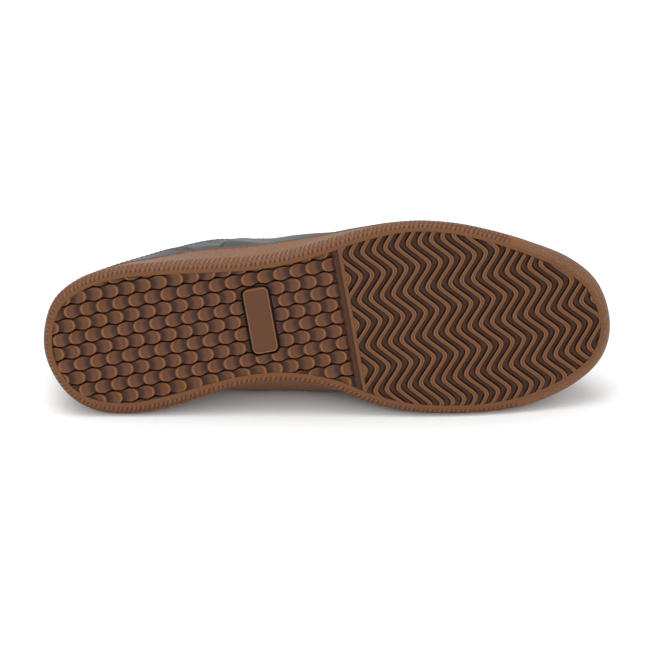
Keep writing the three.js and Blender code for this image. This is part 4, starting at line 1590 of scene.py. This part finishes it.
@dataclass
class Stitching:
    """Lock stitches of bonded thread, each a short capsule half sunk in the leather."""

    pitch: float = 2.9
    length: float = 2.1
    thread: float = 0.62
    sunk: float = 0.05
    insets: tuple[float, float] = (2.0, 4.4)
    lowest: float = 12
    below_collar: float = 4.0
    stay_from: tuple[float, float] = (115, 117)
    spots: list[tuple[Array, Array, Array]] = field(default_factory=list)

    def along(self, points: Array, normals: Array) -> None:
        """Sets stitches along a line on the surface.

        Args:
            points: the line's points.
            normals: the surface's outward direction at each.
        """
        steps = np.linalg.norm(np.diff(points, axis=0), axis=1)
        run = np.concatenate([[0], np.cumsum(steps)])
        for at in np.arange(self.pitch / 2, run[-1], self.pitch):
            spot = np.array([np.interp(at, run, points[:, k]) for k in range(3)])
            ahead = np.array([np.interp(at + 0.5, run, points[:, k]) for k in range(3)])
            out = unit(np.array([np.interp(at, run, normals[:, k]) for k in range(3)]))
            if np.linalg.norm(ahead - spot) > 1e-4:
                self.spots.append((spot, unit(ahead - spot), out))

    def on_view(self, piece: bpy.types.Object, line: Array, inset: float) -> None:
        """Sets a row beside an overlay's edge, on both sides of the shoe, down to the lowest height.

        Args:
            piece: the standing overlay.
            line: the edge in side view.
            inset: how far inside the edge the row runs.
        """
        tangent = unit(np.roll(line, -1, axis=0) - np.roll(line, 1, axis=0))
        inside = line + np.column_stack([-tangent[:, 1], tangent[:, 0]]) * inset
        tree = BVHTree.FromObject(piece, bpy.context.evaluated_depsgraph_get())
        for side in Side:
            points, normals = [], []
            for spot in [*inside, None]:
                hit = None
                if spot is not None and spot[1] > self.lowest:
                    start = Vector((spot[0], 150 * side.value, spot[1]))
                    hit = tree.ray_cast(start, Vector((0, -side.value, 0)), 150)
                if hit is not None and hit[0] is not None and abs(hit[1].y) > 0.2:
                    points.append(np.array(hit[0]))
                    normals.append(np.array(hit[1]))
                else:
                    if len(points) > 2:
                        self.along(np.array(points), np.array(normals))
                    points, normals = [], []

    def on_collar(self, upper: Upper, lift: float) -> None:
        """Sets a row under the top edge, from the throat's front round the heel and back.

        Args:
            upper: the upper.
            lift: how far it stands outside the upper where the overlay along the throat lies.
        """
        low, high = (LAST.throat_place(side, upper.throat[1] * LAST.length)
                     for side in (Side.INNER, Side.OUTER))
        place = np.linspace(low, high + len(STATIONS), 260)
        fine = np.linspace(0.6, 1, 60)
        across_stay = smoothstep(LAST.edge(place).top[:, 0], *self.stay_from)
        rows = upper.rows(fine, (0.03 + lift * across_stay)[None, :, None], place)
        down = np.linalg.norm(rows - rows[-1], axis=2)
        level = np.argmin(np.abs(down - self.below_collar), axis=0)
        out = LAST.outward(place, fine)
        pick = np.arange(len(place))
        self.along(rows[level, pick], out[level, pick])

    def build(self, thread: bpy.types.Material) -> bpy.types.Object:
        """Builds all stitches as one mesh.

        Args:
            thread: their finish.

        Returns:
            The piece.
        """
        choose()
        bpy.ops.mesh.primitive_uv_sphere_add(segments=6, ring_count=5, radius=0.5)
        seed = named("stitch")
        base = np.array([v.co for v in seed.data.vertices])
        faces = [tuple(p.vertices) for p in seed.data.polygons]
        bpy.data.objects.remove(seed)
        base = base * (self.thread, self.thread, self.length)
        points, polygons = [], []
        for spot, ahead, out in self.spots:
            side = unit(np.cross(out, ahead))
            turn = np.stack([side, np.cross(ahead, side), ahead])
            first = len(points) * len(base)
            points.append(base @ turn + spot + out * self.sunk)
            polygons.extend(tuple(first + k for k in face) for face in faces)
        mesh = bpy.data.meshes.new("stitching")
        mesh.from_pydata(np.concatenate(points).tolist(), [], polygons)
        obj = bpy.data.objects.new("stitching", mesh)
        bpy.context.collection.objects.link(obj)
        return settle(obj, [thread], 60)


@dataclass
class Insole:
    """The cloth-covered foam footbed, slightly dished."""

    thick: float = 4
    dish: float = 0.9
    columns: int = 224
    rings: int = 10

    def build(self, cloth: bpy.types.Material) -> bpy.types.Object:
        """Builds and dresses the insole.

        Args:
            cloth: its finish.

        Returns:
            The piece.
        """
        e = LAST.edge(around(self.columns))
        bed = LAST.footbed(e.at[:, 0])
        foot = LAST.foot_edge(e)
        lean = np.minimum(0, (e.lip - LAST.lip_wall - foot) * self.thick / (e.wall - bed))
        outside = foot + 1.2 * lean - 2 * LAST.side_clearance - LAST.upper_wall
        base = LAST.ring(e, outside, bed + LAST.bed_gap)
        middle = np.array([0.5 * LAST.length, 0.04 * LAST.ball_width])
        spine = np.column_stack([mix(middle[0], base[:, 0], 0.72), np.full(len(base), middle[1])])
        rings = [base, base + (0, 0, self.thick - 0.8)]
        for f in np.linspace(0.02, 1, self.rings):
            ring = base.copy()
            ring[:, :2] = mix(base[:, :2], spine, f)
            floor = LAST.footbed(ring[:, 0]) + LAST.bed_gap
            ring[:, 2] = floor + self.thick - self.dish * smoothstep(f, 0.03, 0.5)
            rings.append(ring)
        points = LAST.sprung(np.array(rings), above=True)
        return settle(closed(grid("footbed_foam", points)), [cloth], 50, ["insole"])


@dataclass
class Tongue:
    """The padded leather tongue under the lace."""

    upper: Upper
    thick: float = 3.4
    rise: float = 26
    taper: float = 0.16
    overlap: float = 0.84
    middle: float = 3.5
    tuck: float = 0.03

    def section(self, x: float, depth: float) -> Array:
        """Works out a line across the instep, under the throat's edges.

        Args:
            x: distance from the heel.
            depth: how far it lies inside the upper's surface.

        Returns:
            Points from the outer side to the inner side.
        """
        height = np.linspace(self.overlap, 1, 7)
        sides = []
        for side in Side:
            place = np.array([LAST.throat_place(side, x)])
            sides.append(LAST.skin(place, height, -depth)[:, 0])
        outer, inner = sides[0], sides[1][::-1]
        share = np.linspace(0, 1, 13)[1:-1, None]
        crown = mix(outer[-1], inner[0], share)
        crown[:, 2] += (LAST.crown * 4 * share * (1 - share))[:, 0]
        return np.concatenate([outer, crown, inner])

    def build(self, leather: bpy.types.Material) -> bpy.types.Object:
        """Builds and dresses the tongue.

        Args:
            leather: its finish.

        Returns:
            The piece.
        """
        top, low = self.upper.throat
        rows = []
        for share in np.linspace(low + self.tuck, top, 28):
            extra = LAST.collar_pad * smoothstep(-share, -0.5, -0.45)
            depth = LAST.upper_wall + LAST.side_clearance + extra + 0.3
            rows.append(self.section(share * LAST.length + 1, depth))
        slope = unit(rows[-1][10] - rows[-3][10])
        base = rows[-1]
        for share in np.linspace(0, 1, 12)[1:]:
            row = base + slope * self.rise * share
            corner = math.sqrt(1 - 0.5 * max(0.0, share / 0.45 - 1.22) ** 2)
            row[:, 1] = self.middle + (row[:, 1] - self.middle) * (1 - self.taper * share ** 2) * corner
            rows.append(row)
        points = np.array(rows)
        obj = grid("padded_tongue", points)
        fit(obj, "SOLIDIFY", thickness=self.thick - 1.0, offset=0)
        self.puff(obj, points)
        soften(obj, 0.9, 3)
        obj.data.transform(Matrix.Translation((0, 0, -self.thick / 2)))
        settle(obj, [leather], 60, ["tongue"])
        return obj

    def puff(self, obj: bpy.types.Object, points: Array) -> None:
        """Swells the tongue between its edges.

        Args:
            obj: the tongue, thickened from a grid.
            points: the grid's points.
        """
        rows, columns = points.shape[:2]
        edge = np.minimum(np.arange(columns), columns - 1 - np.arange(columns)) / (columns / 2)
        swell = 0.5 * smoothstep(edge, 0.1, 0.7)
        normals = [v.normal.copy() for v in obj.data.vertices]
        for k, vertex in enumerate(obj.data.vertices):
            vertex.co += normals[k] * float(swell[k % columns]) if k < 2 * rows * columns else Vector()


# The lace's way round a hole, from inside to the tongue and from the tongue to the next hole: how far it
# stands outside the hole, how far up from it, and the share of its width.
OUT_OF_HOLE = ((-2.4, 0, 0.55), (0.6, 0, 0.55), (2.5, 2.5, 0.85), (2.3, 7.5, 1))
UNDER_EDGE = ((-2.9, 6.5, 1), (-3.2, 2.2, 0.8))
INTO_LAST_HOLE = ((-2.2, 0, 0.55), (0.4, 0, 0.55))
BAR_END = ((-2.4, 0, 0.55), (0.7, 0, 0.55), (2.4, 3, 0.9))


@dataclass
class Lace:
    """Two ends of one flat braided lace, from the bar over the lowest holes up to the top holes."""

    upper: Upper
    width: float = 6.4
    thick: float = 1.3
    bow: float = 5.2
    steps: int = 9

    def route(self, first: Side) -> tuple[Array, Array, Array]:
        """Works out one end's way: out of a hole, over the tongue, under the other edge and up again.

        Args:
            first: the side that the end starts on.

        Returns:
            Its points, the outward direction and the width at each.
        """
        holes = {(h.side, h.row): h for h in self.upper.holes()}
        points, outs, widths = [], [], []

        def add(point: Array, out: Array, width: float) -> None:
            """Adds a point of the way."""
            points.append(point)
            outs.append(out)
            widths.append(width)

        def pass_by(hole: Hole, steps: Sequence[tuple[float, float, float]]) -> None:
            """Adds the way past a hole."""
            for out, up, width in steps:
                add(hole.off(out, up), hole.out, width)

        side = first
        other = {Side.OUTER: Side.INNER, Side.INNER: Side.OUTER}
        sign = 1 if first is Side.OUTER else -1
        for row in range(self.upper.hole_rows - 1, 0, -1):
            here, there = holes[side, row], holes[other[side], row - 1]
            pass_by(here, OUT_OF_HOLE)
            start, end = here.off(1.6, 9), there.off(-2.2, 8.5)
            for f in (0.2, 0.36, 0.5, 0.64, 0.8):
                out = unit(mix(here.out, there.out, f) + (0, 0, 0.8))
                over = self.thick * 0.62 * sign * math.exp(-((f - 0.5) / 0.16) ** 2)
                add(mix(start, end, f) + (0, 0, self.bow * 2.2 * f * (1 - f)) + out * over, out, 1)
            pass_by(there, UNDER_EDGE)
            side = other[side]
            sign = -sign
        pass_by(holes[side, 0], INTO_LAST_HOLE)
        return np.array(points), np.array(outs), np.array(widths)

    def bar(self) -> tuple[Array, Array, Array]:
        """Works out the straight bar across the lowest holes.

        Returns:
            Its points, the outward direction and the width at each.
        """
        holes = {h.side: h for h in self.upper.holes() if h.row == self.upper.hole_rows - 1}
        a, b = holes[Side.OUTER], holes[Side.INNER]
        way = [(a.off(out, up), a.out, width) for out, up, width in BAR_END]
        for f in (0.3, 0.5, 0.7):
            spot = mix(a.off(2.0), b.off(2.0), f) + (0, 0, self.bow * 4 * f * (1 - f))
            way.append((spot, unit(mix(a.out, b.out, f)), 1))
        way += [(b.off(out, up), b.out, width) for out, up, width in reversed(BAR_END)]
        points, outs, widths = (np.array(column) for column in zip(*way))
        return points, outs, widths

    def smooth(self, values: Array) -> Array:
        """Runs smoothly through values, with some steps between each two.

        Args:
            values: rows of values.

        Returns:
            The rows of the smooth run.
        """
        padded = np.concatenate([2 * values[:1] - values[1:2], values, 2 * values[-1:] - values[-2:-1]])
        result = []
        for k in range(1, len(padded) - 2):
            a, b, c, d = padded[k - 1:k + 3]
            for f in np.arange(self.steps) / self.steps:
                result.append(spline(a, b, c, d, f))
        return np.array([*result, values[-1]])

    def ribbon(self, name: str, points: Array, outs: Array, widths: Array) -> bpy.types.Object:
        """Builds a flat band along a way, with a UV map in millimetres.

        Args:
            name: its name.
            points: the way's points.
            outs: its outward directions.
            widths: its widths, as shares of the lace's width.

        Returns:
            The band.
        """
        way, out, wide = self.smooth(points), unit(self.smooth(outs)), self.smooth(widths)
        along = unit(np.gradient(way, axis=0))
        side = np.empty_like(way)
        straight = abs(out[0] @ along[0]) < 0.9
        previous = unit(np.cross(out[2], along[2])) if straight else np.array([1.0, 0, 0])
        for k, ahead in enumerate(along):
            flat = np.cross(out[k], ahead)
            weight = np.linalg.norm(flat)
            if flat @ previous < 0:
                flat = -flat
            previous = previous + flat * min(1.0, weight) * 0.35
            previous = unit(previous - ahead * (previous @ ahead))
            side[k] = previous
        across = np.linspace(-1, 1, 7)
        up = np.cross(along, side)
        up *= np.sign((up * out).sum(1, keepdims=True) + 1e-9)
        crown = 0.18 * (1 - across ** 2)
        reach = across[None, :, None] * (self.width / 2 * wide)[:, None, None]
        points = way[:, None] + side[:, None] * reach + up[:, None] * crown[None, :, None]
        obj = grid(name, points)
        run = np.concatenate([[0], np.cumsum(np.linalg.norm(np.diff(way, axis=0), axis=1))])
        uv = obj.data.uv_layers.active or obj.data.uv_layers.new(name="UVMap")
        for loop in obj.data.loops:
            row, column = divmod(loop.vertex_index, len(across))
            uv.data[loop.index].uv = (run[row], (across[column] + 1) * self.width / 2)
        fit(obj, "SOLIDIFY", thickness=self.thick, offset=0)
        soften(obj, 0.4, 2)
        return operate(obj, lambda: bpy.ops.mesh.normals_make_consistent(inside=False))

    def build(self, cotton: bpy.types.Material) -> bpy.types.Object:
        """Builds and dresses the lace."""
        bands = [self.ribbon("lace_end", *self.route(side)) for side in Side]
        bands.append(self.ribbon("lace_bar", *self.bar()))
        return settle(join("flat_lace", bands), [cotton], 50, ["lace"])


# Studio

@dataclass
class Studio:
    """The floor, the lights and the camera.

    The camera looks as the photograph does: its direction and roll are real angles, and its aim is the
    point of the tread that lies in the middle of the photograph.
    """

    aim: tuple[float, float, float] = (149.65, 2.63, 0)
    across: float = 346.3
    azimuth: float = 4.22
    elevation: float = 26.67
    roll: float = 1.57
    distance: float = 2.6
    sensor: float = 36
    floor_size: float = 12
    lamps: tuple[tuple[str, tuple[float, float, float], float, float], ...] = (
        ("overhead_softbox", (-0.2, 0.25, 1.5), 1.3, 17),
        ("front_softbox", (0.5, -1.7, 0.9), 1.0, 6),
        ("side_softbox", (-1.4, -0.6, 0.8), 0.8, 4))
    sky: str = "#ffffff"
    sky_strength: float = 0.92

    def camera(self) -> None:
        """Adds the camera."""
        data = bpy.data.cameras.new("camera")
        data.sensor_width = self.sensor
        data.lens = self.sensor * self.distance / (self.across * MM)
        data.clip_end = 100
        camera = bpy.data.objects.new("camera", data)
        bpy.context.collection.objects.link(camera)
        turn = (Matrix.Rotation(math.radians(-self.azimuth), 4, "Z")
                @ Matrix.Rotation(math.radians(90 - self.elevation), 4, "X")
                @ Matrix.Rotation(math.radians(self.roll), 4, "Z"))
        target = LYING @ Vector(self.aim)
        back = (turn @ Vector((0, 0, 1, 0))).to_3d()
        camera.matrix_world = Matrix.Translation(target + back * self.distance) @ turn
        bpy.context.scene.camera = camera

    def lamp(self, name: str, place: tuple[float, float, float], size: float, watts: float) -> None:
        """Adds a square soft light that faces the shoe.

        Args:
            name: the light's name.
            place: where it stands, in metres.
            size: its side, in metres.
            watts: its power.
        """
        data = bpy.data.lights.new(name, "AREA")
        data.shape = "SQUARE"
        data.size = size
        data.energy = watts
        lamp = bpy.data.objects.new(name, data)
        bpy.context.collection.objects.link(lamp)
        spot = Vector(place)
        lamp.matrix_world = Matrix.Translation(spot) @ spot.to_track_quat("Z", "Y").to_matrix().to_4x4()

    def build(self) -> None:
        """Adds floor, lights, world and camera."""
        choose()
        bpy.ops.mesh.primitive_plane_add(size=self.floor_size)
        floor = named("floor")
        floor.data.materials.append(Paper().build())
        for lamp in self.lamps:
            self.lamp(*lamp)
        world = bpy.data.worlds.new("studio")
        bpy.context.scene.world = world
        world.use_nodes = True
        sky = world.node_tree.nodes["Background"]
        sky.inputs["Color"].default_value = linear(self.sky)
        sky.inputs["Strength"].default_value = self.sky_strength
        bpy.context.scene.view_settings.view_transform = "Standard"
        self.camera()


def main() -> None:
    """Builds every piece in order, then the studio."""
    logging.basicConfig(level=logging.INFO, format="%(name)s %(message)s")
    rubber = GumRubber().build()
    leather = Leather().build()
    cloth = Cloth().build()
    # Braided cotton is matt, and shows its strands as fine ridges along the lace.
    cotton = Cloth(name="braided cotton lace", body="#1d1f22", raised="#34373b", thread=0.9,
                   along_uv=True).build()
    # Bonded nylon has a smooth coat, which gives each stitch a small highlight.
    thread = Cloth(name="bonded nylon thread", body="#17191b", raised="#2b2d30", thread=0.5,
                   roughness=0.6).build()

    Outsole().build(rubber)
    tread = Tread()
    tread.ribs(rubber)
    tread.scales(rubber)

    upper = Upper()
    counter = Overlay("counter_overlay", "heel_counter", View.COUNTER, upper).build()
    stay = Overlay("stay_overlay", "eyestay", View.STAY, upper).build(upper.punches())
    stitching = Stitching()
    for overlay in (counter, stay):
        for inset in stitching.insets:
            stitching.on_view(overlay.piece, overlay.view.outline(), inset)
    stitching.on_collar(upper, stay.lift + stay.thick)
    stitching.build(thread)
    counter.finish(leather)
    stay.finish(leather)
    upper.shell(leather)
    upper.lining(cloth)
    Insole().build(cloth)
    Tongue(upper).build(leather)
    Lace(upper).build(cotton)

    Studio().build()


if __name__ == "__main__":
    main()
